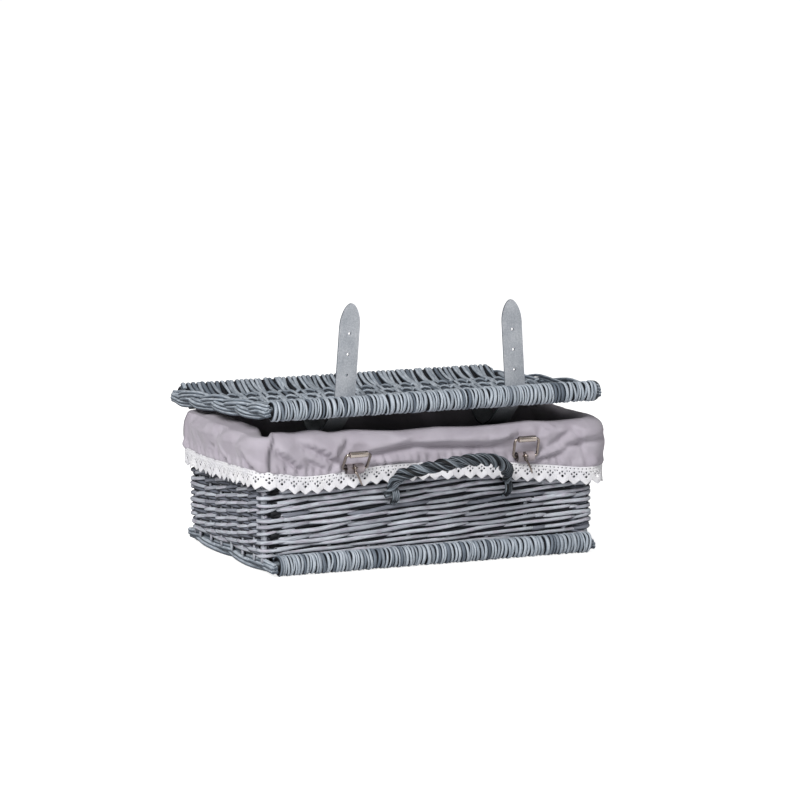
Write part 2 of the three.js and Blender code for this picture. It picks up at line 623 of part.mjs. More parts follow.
function addBuckles() {
  const half = BUCKLE_TAB_WIDTH / 2;
  const ear = (BUCKLE_TAB_WIDTH - BUCKLE_TAB_SLIT) / 2;
  const tail = -wallHalfY - SEAT_GAP - buckleBarY;
  const tab = unite(
    eye(barClear, buckleLoopRadius, ear).translate(ear / 2 - half, 0, 0),
    eye(barClear, buckleLoopRadius, ear).translate(half - ear / 2, 0, 0),
    boxBetween([-half, 0, barClear], [half - ear, tail, buckleLoopRadius]),
    boxBetween([half - ear - 1, 0, barClear], [half, tail, buckleLoopRadius]));
  const tabWithSlit = cut(tab, boxBetween(
    [-BUCKLE_TAB_SLIT / 2, -buckleLoopRadius - 1, -buckleLoopRadius - 1],
    [BUCKLE_TAB_SLIT / 2, buckleLoopRadius, buckleLoopRadius + 1]));

  const wire = BUCKLE_WIRE / 2;
  const frame = new THREE.Shape();
  frame.moveTo(-BUCKLE_WIDTH / 2, -wire);
  frame.lineTo(BUCKLE_WIDTH / 2, -wire);
  frame.lineTo(BUCKLE_WIDTH / 2, BUCKLE_REACH + wire);
  frame.lineTo(-BUCKLE_WIDTH / 2, BUCKLE_REACH + wire);
  const inside = BUCKLE_WIDTH / 2 - BUCKLE_WIRE;
  frame.holes.push(new THREE.Path([[-inside, wire], [inside, wire],
    [inside, BUCKLE_REACH - wire], [-inside, BUCKLE_REACH - wire]]
    .map(([x, z]) => new THREE.Vector2(x, z))));

  const rollerProfile = [[barClear, -ROLLER_LENGTH / 2], [ROLLER_DIAMETER / 2, -ROLLER_LENGTH / 2],
    [ROLLER_DIAMETER / 2, ROLLER_LENGTH / 2], [barClear, ROLLER_LENGTH / 2],
    [barClear, -ROLLER_LENGTH / 2]].map(([r, x]) => new THREE.Vector2(r, x));

  const eyeRadius = buckleLoopRadius - SEAT_GAP;
  const prongReach = BUCKLE_REACH + ROLLER_DIAMETER / 2 + PRONG_DIAMETER / 2;
  const pinStart = (barClear + eyeRadius) / 2;
  const pin = new THREE.CylinderGeometry(PRONG_DIAMETER / 2, PRONG_DIAMETER / 2 * 0.7,
    prongReach - pinStart, 8).rotateX(Math.PI / 2).translate(0, 0, -(prongReach + pinStart) / 2);
  const prong = unite(eye(barClear, eyeRadius, PRONG_EYE_WIDTH), pin);

  for (const [i, side] of sides.entries()) {
    const place = [strapXs[i], buckleBarY, buckleBarZ];
    addPart(suitcase, `buckle_tab_${side}`, tabWithSlit, leather(), place);
    addPart(suitcase, `buckle_prong_${side}`, prong, plated(), place);
    const leaning = new THREE.Group();
    leaning.position.set(...place);
    leaning.rotation.x = THREE.MathUtils.degToRad(BUCKLE_LEAN_DEG[i]);
    suitcase.add(leaning);
    const flat = new THREE.ExtrudeGeometry(frame, { depth: BUCKLE_WIRE, bevelEnabled: false });
    addPart(leaning, `buckle_frame_${side}`, flat.translate(0, 0, -wire).rotateX(Math.PI / 2), plated());
    const roller = new THREE.LatheGeometry(rollerProfile, 12).rotateZ(Math.PI / 2);
    addPart(leaning, `buckle_roller_${side}`, roller, plated(), [0, 0, BUCKLE_REACH]);
  }
}

// Handle: a thick arch whose ends lie along the wall under willow lashings
function addHandle() {
  const axisY = -(wallHalfY + SEAT_GAP + HANDLE_DIAMETER / 2);
  const lashingRadius = HANDLE_DIAMETER / 2 + PIVOT_GAP;
  const lashingOuter = lashingRadius + LASHING_THICKNESS;
  const axisZ = skirtHem - SEAT_GAP - LACE_HEIGHT - 1 - lashingOuter;
  const foot = HANDLE_SPAN / 2;
  const route = new THREE.CatmullRomCurve3([
    [-foot - HANDLE_PIN_LENGTH, 0], [-foot - HANDLE_PIN_LENGTH / 2, 0], [-foot, HANDLE_REACH * 0.03],
    [-foot * 0.84, HANDLE_REACH * 0.42], [-foot * 0.52, HANDLE_REACH * 0.82], [0, HANDLE_REACH],
    [foot * 0.52, HANDLE_REACH * 0.82], [foot * 0.84, HANDLE_REACH * 0.42],
    [foot, HANDLE_REACH * 0.03], [foot + HANDLE_PIN_LENGTH / 2, 0], [foot + HANDLE_PIN_LENGTH, 0],
  ].map(([x, out]) => new THREE.Vector3(x, -out, 0)), false, 'centripetal');
  const steps = 36;
  const facets = 8;
  const rings = Array.from({ length: steps + 1 }, (_, i) => {
    const centre = route.getPointAt(i / steps);
    const along = route.getTangentAt(i / steps);
    const side = new THREE.Vector3(-along.y, along.x, 0);
    return Array.from({ length: facets }, (_, j) => {
      const angle = Math.PI * 2 * (j + 0.5) / facets;
      const radius = HANDLE_DIAMETER / 2;
      return centre.clone().addScaledVector(side, radius * Math.cos(angle))
        .add(new THREE.Vector3(0, 0, radius * Math.sin(angle)));
    });
  });
  const arch = addPart(suitcase, 'handle', loft(rings), darkWillow(), [HANDLE_CENTRE_X, axisY, axisZ]);
  arch.rotation.x = -THREE.MathUtils.degToRad(HANDLE_LIFT_DEG);

  const wallSide = HANDLE_DIAMETER / 2;
  const staple = new THREE.Shape();
  staple.moveTo(wallSide, lashingOuter);
  staple.lineTo(0, lashingOuter);
  staple.absarc(0, 0, lashingOuter, Math.PI / 2, Math.PI * 1.5, false);
  staple.lineTo(wallSide, -lashingOuter);
  staple.lineTo(wallSide, -lashingRadius);
  staple.lineTo(0, -lashingRadius);
  staple.absarc(0, 0, lashingRadius, Math.PI * 1.5, Math.PI / 2, true);
  staple.lineTo(wallSide, lashingRadius);
  for (const [i, side] of sides.entries()) {
    const offset = (i ? 1 : -1) * (foot + HANDLE_PIN_LENGTH - LASHING_WIDTH / 2);
    addPart(suitcase, `handle_lashing_${side}`, pushAlongX(staple, LASHING_WIDTH, 8), darkWillow(),
      [HANDLE_CENTRE_X + offset, axisY, axisZ]);
  }
}

addBase();
addWalls();
addLining();
addHingeLoops();
addLid();
addStraps();
addBuckles();
addHandle();

// The origin is on the ground under the middle of the whole part
const bounds = new THREE.Box3().setFromObject(suitcase, true);
const middle = bounds.getCenter(new THREE.Vector3());
suitcase.position.set(-middle.x, -middle.y, -bounds.min.z);

export default suitcase;
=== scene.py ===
"""Dress the wicker suitcase: willow rods, cloth lining, lace, leather straps, buckles and handle.

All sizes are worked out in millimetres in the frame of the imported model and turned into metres
when a mesh is made.
"""

import json
import logging
import math
from dataclasses import dataclass
from enum import StrEnum
from typing import Sequence

import bpy
import numpy as np
from mathutils import Matrix
from mathutils import Vector
from mathutils.geometry import delaunay_2d_cdt

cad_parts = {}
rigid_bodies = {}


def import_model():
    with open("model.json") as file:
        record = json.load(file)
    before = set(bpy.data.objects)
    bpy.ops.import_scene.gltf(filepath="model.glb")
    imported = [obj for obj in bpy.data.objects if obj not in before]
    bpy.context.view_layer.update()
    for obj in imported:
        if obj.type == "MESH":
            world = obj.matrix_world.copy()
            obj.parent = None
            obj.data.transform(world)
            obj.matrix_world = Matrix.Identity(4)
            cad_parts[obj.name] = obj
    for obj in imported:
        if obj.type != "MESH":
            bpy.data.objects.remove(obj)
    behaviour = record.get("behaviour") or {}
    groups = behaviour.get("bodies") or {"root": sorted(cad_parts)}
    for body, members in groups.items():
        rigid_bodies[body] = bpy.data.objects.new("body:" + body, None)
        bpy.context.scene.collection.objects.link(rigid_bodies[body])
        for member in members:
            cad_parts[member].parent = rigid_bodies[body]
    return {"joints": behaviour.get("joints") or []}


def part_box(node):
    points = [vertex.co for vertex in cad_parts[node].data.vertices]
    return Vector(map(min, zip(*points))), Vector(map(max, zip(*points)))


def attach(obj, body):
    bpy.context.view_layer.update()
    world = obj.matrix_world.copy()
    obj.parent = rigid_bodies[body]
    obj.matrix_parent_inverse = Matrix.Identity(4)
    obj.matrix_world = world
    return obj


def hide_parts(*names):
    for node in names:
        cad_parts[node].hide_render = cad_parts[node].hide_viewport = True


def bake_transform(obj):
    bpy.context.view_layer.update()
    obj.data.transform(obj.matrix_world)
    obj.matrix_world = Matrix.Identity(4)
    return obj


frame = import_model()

LOG = logging.getLogger("suitcase")
METRES = 0.001
Array = np.ndarray
Span = tuple[float, float]
Colour = tuple[float, float, float]
Material = bpy.types.Material
Node = bpy.types.Node
Piece = bpy.types.Object
Socket = bpy.types.NodeSocket
Sockets = bpy.types.bpy_prop_collection
Tree = bpy.types.NodeTree
Feed = Socket | float | Colour
Feeds = dict[str | int, Feed]
COLOUR = "NodeSocketColor"
NUMBER = "NodeSocketFloat"
WHITE: Colour = (1.0, 1.0, 1.0)
TURN = 2 * math.pi


class Side(StrEnum):
    """Which of a left and right pair a piece is."""

    LEFT = "left"
    RIGHT = "right"


class End(StrEnum):
    """Which of a front and back pair a piece is."""

    FRONT = "front"
    BACK = "back"


def cad_box(node: str) -> tuple[Array, Array]:
    """Read the box of a CAD node."""
    low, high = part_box(node)
    return np.array(low) / METRES, np.array(high) / METRES


def linear(*levels: int) -> Colour:
    """Turn a display colour, with red, green and blue of 0 to 255, into linear light."""
    shares = [level / 255 for level in levels]
    return tuple(v / 12.92 if v <= 0.04045 else ((v + 0.055) / 1.055) ** 2.4 for v in shares)


def unit(vectors: Array) -> Array:
    """Scale vectors to length one."""
    return vectors / np.maximum(np.linalg.norm(vectors, axis=-1, keepdims=True), 1e-9)


def smooth_step(low: float, high: float, value: Array) -> Array:
    """Ease from 0 to 1 between two values."""
    part = np.clip((np.asarray(value, float) - low) / (high - low), 0.0, 1.0)
    return part * part * (3 - 2 * part)


def window(rise: Span, fall: Span, at: Array) -> Array:
    """Ease from 0 to 1 over one span, and back to 0 over another that is given from its end."""
    return smooth_step(*rise, at) * smooth_step(*fall, at)


def eased(at: Array, knots: Sequence[float], levels: Sequence[float]) -> Array:
    """Join levels with smooth waves.

    Args:
        at: Places to read.
        knots: Places of the levels.
        levels: The levels.

    Returns:
        The smooth levels.
    """
    result = np.zeros_like(at)
    for first, last, low, high in zip(knots[:-1], knots[1:], levels[:-1], levels[1:]):
        inside = (at >= first) & (at <= last)
        result[inside] = low + (high - low) * smooth_step(first, last, at[inside])
    return result


def arc_lengths(path: Array) -> Array:
    """Measure along a path."""
    return np.concatenate([[0.0], np.cumsum(np.linalg.norm(np.diff(path, axis=0), axis=1))])


def resample(path: Array, spacing: float) -> Array:
    """Give a path points at about the given distance, with both ends kept."""
    marks = arc_lengths(path)
    return read_path(path, marks, np.linspace(0, marks[-1], max(2, int(round(marks[-1] / spacing)) + 1)))


def read_path(path: Array, marks: Array, places: Array) -> Array:
    """Read points of a path at lengths along it, given the length of each of its own points."""
    return np.stack([np.interp(places, marks, path[:, axis]) for axis in range(3)], axis=1)


def arc(radius: float, angles: Array) -> Array:
    """Lay out an arc in the plane across x, round the origin."""
    return np.stack([np.zeros(len(angles)), radius * np.cos(angles), radius * np.sin(angles)], axis=1)


def long_axis(node: str) -> tuple[Array, float]:
    """Find the middle line of a CAD node that is a long level stick.

    Args:
        node: Name of the node.

    Returns:
        Both ends of the line, 2 by 3, and half of the node's height.
    """
    low, high = cad_box(node)
    axis = 0 if high[0] - low[0] > high[1] - low[1] else 1
    ends = np.array([low + high, low + high]) / 2
    ends[:, axis] = low[axis], high[axis]
    return ends, (high[2] - low[2]) / 2


def wall_plan() -> tuple[Array, Array]:
    """Read the near left and the far right corner of the walls in plan."""
    left, front, right, back = (cad_box(f"{side}_wall") for side in ("left", "front", "right", "back"))
    return np.array([left[0][0], front[0][1]]), np.array([right[1][0], back[1][1]])


def two_tones(rng: np.random.Generator, chance: float, dark: Span, pale: Span) -> float:
    """Draw a rod's tone from a dark span, with the given chance, or else from a pale one."""
    low, high = dark if rng.uniform() < chance else pale
    return float(rng.uniform(low, high))


def soften(path: Array, rounds: int = 2) -> Array:
    """Round off the turns of a path and keep its ends.

    Args:
        path: Points of the path, n by 3.
        rounds: Number of passes.

    Returns:
        The softened points.
    """
    points = np.array(path, float)
    for _ in range(rounds):
        points[1:-1] = 0.25 * points[:-2] + 0.5 * points[1:-1] + 0.25 * points[2:]
    return points


@dataclass
class Wobble:
    """Smooth seeded noise along a line, made of a few sine waves."""

    rng: np.random.Generator
    size: float
    lengths: Sequence[float]

    def __post_init__(self) -> None:
        """Draw the waves."""
        self.waves: list[tuple[float, float, float]] = []
        for length in self.lengths:
            phase = self.rng.uniform(0, TURN)
            self.waves.append((TURN / length, phase, self.size * self.rng.uniform(0.5, 1.0)))
        self.share = 1 / math.sqrt(len(self.waves))

    def __call__(self, at: Array) -> Array:
        """Read the noise."""
        place = np.asarray(at, float)
        return self.share * sum(h * np.sin(k * place + phase) for k, phase, h in self.waves)


def ring_quads(first: Array, last: Array) -> Array:
    """Join rows of closed rings of points to quads, from the first rings to the last."""
    turned = [np.roll(rings, -1, axis=1) for rings in (first, last)]
    return np.stack([first, *turned, last], axis=2).reshape(-1, 4)


def raised(flat: Array, height: float | Array) -> Array:
    """Give points in plan their height, one or one for each."""
    return np.concatenate([flat, np.broadcast_to(height, len(flat))[:, None]], axis=1)


def mesh_object(
    name: str,
    points: Array,
    faces: Sequence[Sequence[int]],
    material: Material,
    values: dict[str, Array] | None = None,
    flat_from: int | None = None,
) -> Piece:
    """Make a mesh object.

    Args:
        name: Name of the object.
        points: Points in millimetres, n by 3.
        faces: Point numbers of each face.
        material: Its material.
        values: Named values, one per point, that materials read.
        flat_from: Number of the first face that is shaded flat.

    Returns:
        The object, linked into the scene.
    """
    mesh = bpy.data.meshes.new(name)
    mesh.from_pydata((np.asarray(points) * METRES).tolist(), [], faces)
    for key, numbers in (values or {}).items():
        layer = mesh.attributes.new(key, "FLOAT", "POINT")
        layer.data.foreach_set("value", np.asarray(numbers, np.float32))
    smooth = np.ones(len(mesh.polygons), bool)
    if flat_from is not None:
        smooth[flat_from:] = False
    mesh.polygons.foreach_set("use_smooth", smooth)
    mesh.materials.append(material)
    mesh.update()
    made = bpy.data.objects.new(name, mesh)
    bpy.context.scene.collection.objects.link(made)
    return made


def thicken(made: Piece, thickness: float) -> None:
    """Give a sheet its thickness, in millimetres, half to each side.

    Args:
        made: The sheet.
        thickness: Its thickness.
    """
    solid = made.modifiers.new("thickness", "SOLIDIFY")
    solid.thickness = thickness * METRES
    solid.offset = 0.0


@dataclass
class RodBundle:
    """Collects round rods and turns them into one mesh.

    Each point keeps the tone of its rod, the length along it, the angle round it and how far it faces
    outward, so that one material can colour every rod on its own and paint light and shade across it.
    """

    name: str
    seed: int

    def __post_init__(self) -> None:
        """Start an empty bundle."""
        self.rng = np.random.default_rng(self.seed)
        self.points: list[Array] = []
        self.quads: list[Array] = []
        self.caps: list[list[int]] = []
        self.values: dict[str, list[Array]] = {"tone": [], "along": [], "around": [], "painted_light_facing": []}
        self.total = 0

    def add(
        self,
        path: Array,
        radius: float | Array,
        outward: Array | Sequence[float],
        sides: int = 8,
        closed: bool = False,
        flat: float = 1.0,
        tone: float | None = None,
        least: float = 0.0,
        both: bool = False,
    ) -> None:
        """Add one rod.

        Args:
            path: Points of its middle line, n by 3.
            radius: One radius, or one for each point.
            outward: The direction that faces outward, one or one for each point; the painted light falls on
                it.
            sides: Number of sides of the rod.
            closed: True for a ring.
            flat: Thickness outward, as a share of the width.
            tone: Tone of 0 to 1, or None for a random one.
            least: Least value of how far a point faces outward, which caps the painted shade.
            both: True for a rod that is seen from both sides, with painted light on both of them.
        """
        middle = np.asarray(path, float)
        count = len(middle)
        if closed:
            tangent = unit(np.roll(middle, -1, axis=0) - np.roll(middle, 1, axis=0))
        else:
            tangent = unit(np.gradient(middle, axis=0))
        out = np.broadcast_to(np.asarray(outward, float), middle.shape)
        side = unit(np.cross(tangent, out))
        up = np.cross(side, tangent)
        size = np.broadcast_to(np.asarray(radius, float), (count,))[:, None, None]
        angle = np.arange(sides) * TURN / sides
        ring = np.cos(angle)[None, :, None] * side[:, None, :]
        ring = ring + flat * np.sin(angle)[None, :, None] * up[:, None, :]
        spots = middle[:, None, :] + size * ring
        facing = np.sum(unit(ring) * out[:, None, :], axis=2)
        if both:
            facing = np.where(facing < 0, -0.85 * facing, facing)
        index = np.arange(count * sides).reshape(count, sides) + self.total
        after = np.roll(index, -1, axis=0) if closed else index[1:]
        before = index if closed else index[:-1]
        self.quads.append(ring_quads(before, after))
        if not closed:
            self.caps.append(index[0][::-1].tolist())
            self.caps.append(index[-1].tolist())
        shade = float(self.rng.uniform()) if tone is None else tone
        length = arc_lengths(middle) + self.rng.uniform(0, 500)
        self.points.append(spots.reshape(-1, 3))
        self.values["tone"].append(np.full(count * sides, shade))
        self.values["along"].append(np.repeat(length, sides))
        self.values["around"].append(np.tile(np.sin(angle / 2) * 2, count))
        # Painted light and shade: how far each point faces outward, which the material reads.
        self.values["painted_light_facing"].append(np.maximum(0.5 + 0.5 * facing, least).reshape(-1))
        self.total += count * sides

    def build(self, material: Material) -> Piece:
        """Make the mesh object.

        Args:
            material: Material of the rods.

        Returns:
            The object.
        """
        quads = np.concatenate(self.quads).tolist()
        values = {key: np.concatenate(parts) for key, parts in self.values.items()}
        spots = np.concatenate(self.points)
        return mesh_object(self.name, spots, quads + self.caps, material, values, len(quads))


@dataclass
class Graph:
    """Builds the node tree of a material, world or group in few words."""

    tree: Tree

    def node(self, kind: str, feeds: Feeds | None = None, **settings: object) -> Node:
        """Add a node.

        Args:
            kind: Type name of the node.
            feeds: What goes into its inputs, a socket to link or a value to set.
            settings: Properties to set.

        Returns:
            The node.
        """
        made = self.tree.nodes.new(kind)
        for key, value in settings.items():
            setattr(made, key, value)
        self.fill(made, feeds or {})
        return made

    def fill(self, target: Node, feeds: Feeds) -> None:
        """Link sockets to the inputs of a node or set their values.

        Args:
            target: The node.
            feeds: What goes into its inputs.
        """
        for key, value in feeds.items():
            socket = target.inputs[key]
            if isinstance(value, Socket):
                self.tree.links.new(value, socket)
            elif isinstance(value, tuple) and socket.type == "RGBA":
                socket.default_value = (*value, 1.0)
            else:
                socket.default_value = value

    def group(self, name: str, feeds: Feeds) -> Sockets:
        """Add a shared shader group and give its outputs."""
        return self.node("ShaderNodeGroup", feeds, node_tree=bpy.data.node_groups[name]).outputs

    def value(self, name: str) -> Socket:
        """Read a named value of the mesh."""
        return self.node("ShaderNodeAttribute", attribute_name=name).outputs["Fac"]

    def sum(self, operation: str, first: Feed, second: Feed = 0.0) -> Socket:
        """Do a named sum with one or two numbers."""
        return self.node("ShaderNodeMath", {0: first, 1: second}, operation=operation).outputs[0]

    def times(self, first: Feed, second: Feed) -> Socket:
        """Multiply two numbers."""
        return self.sum("MULTIPLY", first, second)

    def ease(self, value: Feed, low: float, high: float) -> Socket:
        """Ease a value from 0 at the low level to 1 at the high one."""
        feeds = {"Value": value, "From Min": low, "From Max": high}
        return self.node("ShaderNodeMapRange", feeds, interpolation_type="SMOOTHSTEP").outputs["Result"]

    def mix(self, factor: Feed, first: Feed, second: Feed) -> Socket:
        """Mix two colours, with the factor as the share of the second."""
        feeds = {0: factor, 6: first, 7: second}
        return self.node("ShaderNodeMix", feeds, data_type="RGBA").outputs[2]

    def joined(self, first: Feed, second: Feed, third: Feed) -> Socket:
        """Join three numbers to a vector."""
        return self.node("ShaderNodeCombineXYZ", {0: first, 1: second, 2: third}).outputs[0]

    def noise(self, vector: Socket, scale: float, detail: float = 3.0) -> Socket:
        """Read noise of 0 to 1 at a place, with its fineness and its number of finer layers."""
        feeds = {"Vector": vector, "Scale": scale, "Detail": detail}
        return self.node("ShaderNodeTexNoise", feeds).outputs["Fac"]

    def bump(self, height: Socket, strength: float, distance: float) -> Socket:
        """Turn a height into a bumped normal."""
        feeds = {"Height": height, "Strength": strength, "Distance": distance}
        return self.node("ShaderNodeBump", feeds).outputs["Normal"]


def new_group(name: str, inputs: dict[str, str], outputs: dict[str, str]) -> tuple[Graph, Node, Node]:
    """Start a shader node group.

    Args:
        name: Name of the group.
        inputs: Type of each named input.
        outputs: Type of each named output.

    Returns:
        The graph, its input node and its output node.
    """
    tree = bpy.data.node_groups.new(name, "ShaderNodeTree")
    for way, sockets in (("INPUT", inputs), ("OUTPUT", outputs)):
        for label, kind in sockets.items():
            tree.interface.new_socket(label, in_out=way, socket_type=kind)
    graph = Graph(tree)
    return graph, graph.node("NodeGroupInput"), graph.node("NodeGroupOutput")


def rod_colour_group() -> None:
    """Make the group that colours willow rods one by one."""
    # Paints light and shade on each rod: a lighter crest where it faces outward and darker flanks.
    colours = dict.fromkeys(("Light", "Tint", "Mid", "Dark_and_shade"), COLOUR)
    outputs = {"Colour": COLOUR, "Height": NUMBER, "Wear_and_highlight": NUMBER}
    graph, given, output = new_group("Rod colour", colours, outputs)
    light, tint, mid, deep = (given.outputs[label] for label in colours)
    tone, along, around, painted_light_facing = (graph.value(name) for name in ("tone", "along", "around", "painted_light_facing"))
    lane = graph.times(tone, 61.0)
    fibre_place = graph.joined(graph.times(along, 0.035), graph.times(around, 2.6), lane)
    fibre = graph.noise(fibre_place, 2.4, 4.0)
    patch_place = graph.joined(graph.times(along, 0.045), graph.times(around, 0.5), lane)
    patch = graph.noise(patch_place, 1.0, 2.0)
    # The crest: wear patches where a rod faces outward, partly a painted highlight.
    worn = graph.times(graph.ease(painted_light_facing, 0.66, 0.88), graph.ease(patch, 0.12, 0.36))
    # Painted shade on the flanks of each rod.
    painted_flank_shade = graph.mix(graph.ease(painted_light_facing, 0.5, 0.74), deep, mid)
    # Rods of the lowest tones take the darkest colour: real dark rods, and the painted shade of gap rods and
    # cores.
    base = graph.mix(graph.ease(tone, 0.05, 0.35), deep, painted_flank_shade)
    tinted = graph.times(graph.ease(graph.noise(patch_place, 2.1, 1.0), 0.45, 0.65), 0.7)
    crest = graph.mix(tinted, light, tint)
    lit = graph.mix(graph.ease(tone, 0.12, 0.8), mid, crest)
    lit = graph.mix(graph.ease(tone, 0.1, 0.2), deep, lit)
    colour = graph.mix(worn, base, lit)
    faded = graph.times(graph.sum("SUBTRACT", 1.0, graph.ease(fibre, 0.36, 0.58)), 0.38)
    graph.fill(output, {"Colour": graph.mix(faded, colour, deep), "Height": fibre, "Wear_and_highlight": worn})


def weave_group() -> None:
    """Make the group that gives cloth its threads."""
    outputs = dict.fromkeys(("Height", "Blotch", "Seam"), NUMBER)
    graph, given, output = new_group("Cloth threads", {"Pitch": NUMBER}, outputs)
    across, down, seam = (graph.value(name) for name in ("across", "down", "seam"))
    turns = graph.sum("DIVIDE", TURN, given.outputs["Pitch"])
    warp = graph.sum("SINE", graph.times(across, turns))
    weft = graph.sum("SINE", graph.times(down, turns))
    place = graph.joined(across, down, 0.0)
    slub = graph.noise(place, 0.35, 2.0)
    threads = graph.sum("ADD", graph.times(warp, 0.25), graph.times(weft, 0.25))
    height = graph.sum("ADD", threads, slub)
    graph.fill(output, {"Height": height, "Blotch": graph.noise(place, 0.03), "Seam": seam})


def grain_group() -> None:
    """Make the group of fine pebbles for leather and metal."""
    outputs = dict.fromkeys(("Height", "Wear", "Speck"), NUMBER)
    graph, given, output = new_group("Fine grain", {"Fineness": NUMBER}, outputs)
    place = graph.node("ShaderNodeTexCoord").outputs["Object"]
    pebble = graph.node("ShaderNodeTexVoronoi", {"Vector": place, "Scale": given.outputs["Fineness"]})
    slow = graph.noise(place, 45.0, 4.0)
    height = graph.sum("ADD", pebble.outputs["Distance"], slow)
    speck = graph.ease(graph.noise(place, 820.0, 1.0), 0.4, 0.62)
    graph.fill(output, {"Height": height, "Wear": slow, "Speck": speck})


def new_material(name: str) -> tuple[Material, Graph, Node]:
    """Start a material.

    Args:
        name: Name of the material.

    Returns:
        The material, its graph and its surface node.
    """
    made = bpy.data.materials.new(name)
    made.use_nodes = True
    return made, Graph(made.node_tree), made.node_tree.nodes["Principled BSDF"]


@dataclass(frozen=True)
class WillowFinish:
    """Washed willow."""

    name: str
    light: Colour
    tint: Colour
    mid: Colour
    # Near-black for dark rods and streaks, and for painted shade on flanks and in gaps.
    deep: Colour
    roughness: float = 0.62

    def material(self) -> Material:
        """Make the material.

        Returns:
            The material.
        """
        made, graph, surface = new_material(self.name)
        colours = {"Light": self.light, "Tint": self.tint, "Mid": self.mid, "Dark_and_shade": self.deep}
        rod = graph.group("Rod colour", colours)
        bump = graph.bump(rod["Height"], 0.35, 0.0004)
        graph.fill(surface, {"Base Color": rod["Colour"], "Normal": bump, "Roughness": self.roughness})
        graph.fill(surface, {"Specular IOR Level": 0.35})
        return made


@dataclass(frozen=True)
class ClothFinish:
    """Woven or crocheted thread."""

    name: str
    colour: Colour
    shade: Colour
    pitch: float
    bump: float
    roughness: float = 0.85
    sheen: float = 0.15
    seam_dark: Colour = (0.02, 0.018, 0.022)
    inside_dark: Colour = (0.01, 0.0095, 0.011)

    def material(self) -> Material:
        """Make the material.

        Returns:
            The material.
        """
        made, graph, surface = new_material(self.name)
        weave = graph.group("Cloth threads", {"Pitch": self.pitch})
        colour = graph.mix(graph.ease(weave["Blotch"], 0.3, 0.7), self.shade, self.colour)
        colour = graph.mix(graph.times(weave["Seam"], 0.85), colour, self.seam_dark)
        # Painted shade inside the bag, where the deep value marks it.
        colour = graph.mix(graph.times(graph.value("deep"), 0.72), colour, self.inside_dark)
        bump = graph.bump(weave["Height"], self.bump, 0.0003)
        graph.fill(surface, {"Base Color": colour, "Normal": bump, "Roughness": self.roughness})
        graph.fill(surface, {"Sheen Weight": self.sheen, "Specular IOR Level": 0.2})
        return made


@dataclass(frozen=True)
class LeatherFinish:
    """Smooth dyed leather with a darker cut edge."""

    name: str
    colour: Colour
    worn: Colour
    edge: Colour
    roughness: float = 0.5
    under_dark: Colour = (0.006, 0.007, 0.008)

    def material(self) -> Material:
        """Make the material.

        Returns:
            The material.
        """
        made, graph, surface = new_material(self.name)
        grain = graph.group("Fine grain", {"Fineness": 900.0})
        pale = graph.times(graph.ease(grain["Wear"], 0.3, 0.75), 0.5)
        pale = graph.sum("ADD", pale, graph.times(grain["Speck"], 0.5))
        colour = graph.mix(pale, self.colour, self.worn)
        colour = graph.mix(graph.value("rim"), colour, self.edge)
        # Painted shade where the shade value marks it.
        colour = graph.mix(graph.value("shade"), colour, self.under_dark)
        bump = graph.bump(grain["Height"], 0.22, 0.0003)
        graph.fill(surface, {"Base Color": colour, "Normal": bump, "Roughness": self.roughness})
        graph.fill(surface, {"Specular IOR Level": 0.4})
        return made


@dataclass(frozen=True)
class MetalFinish:
    """Plated metal, a little rubbed."""

    name: str
    colour: Colour
    tarnish: Colour
    roughness: float

    def material(self) -> Material:
        """Make the material.

        Returns:
            The material.
        """
        made, graph, surface = new_material(self.name)
        grain = graph.group("Fine grain", {"Fineness": 500.0})
        wear = graph.ease(grain["Wear"], 0.42, 0.68)
        rough = graph.sum("ADD", graph.times(wear, 0.18), self.roughness)
        colour = graph.mix(wear, self.colour, self.tarnish)
        graph.fill(surface, {"Base Color": colour, "Roughness": rough, "Metallic": 1.0})
        return made


@dataclass(frozen=True)
class Palette:
    """The materials of the whole suitcase."""

    willow: Material
    wall: Material
    dark_willow: Material
    cotton: Material
    lace: Material
    leather: Material
    tab: Material
    roller_metal: Material
    wire_metal: Material


def settle(made: Piece, body: str, slot: str, *nodes: str) -> Piece:
    """Give a finished piece its body and hide the CAD nodes it stands for.

    Args:
        made: The piece.
        body: Body that carries it.
        slot: Material slot of the record; not used.
        nodes: CAD nodes it replaces.

    Returns:
        The piece.
    """
    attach(made, body)
    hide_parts(*nodes)
    return made


@dataclass
class Assembly:
    """A sub-assembly of the suitcase, with the materials that it is dressed in."""

    palette: Palette


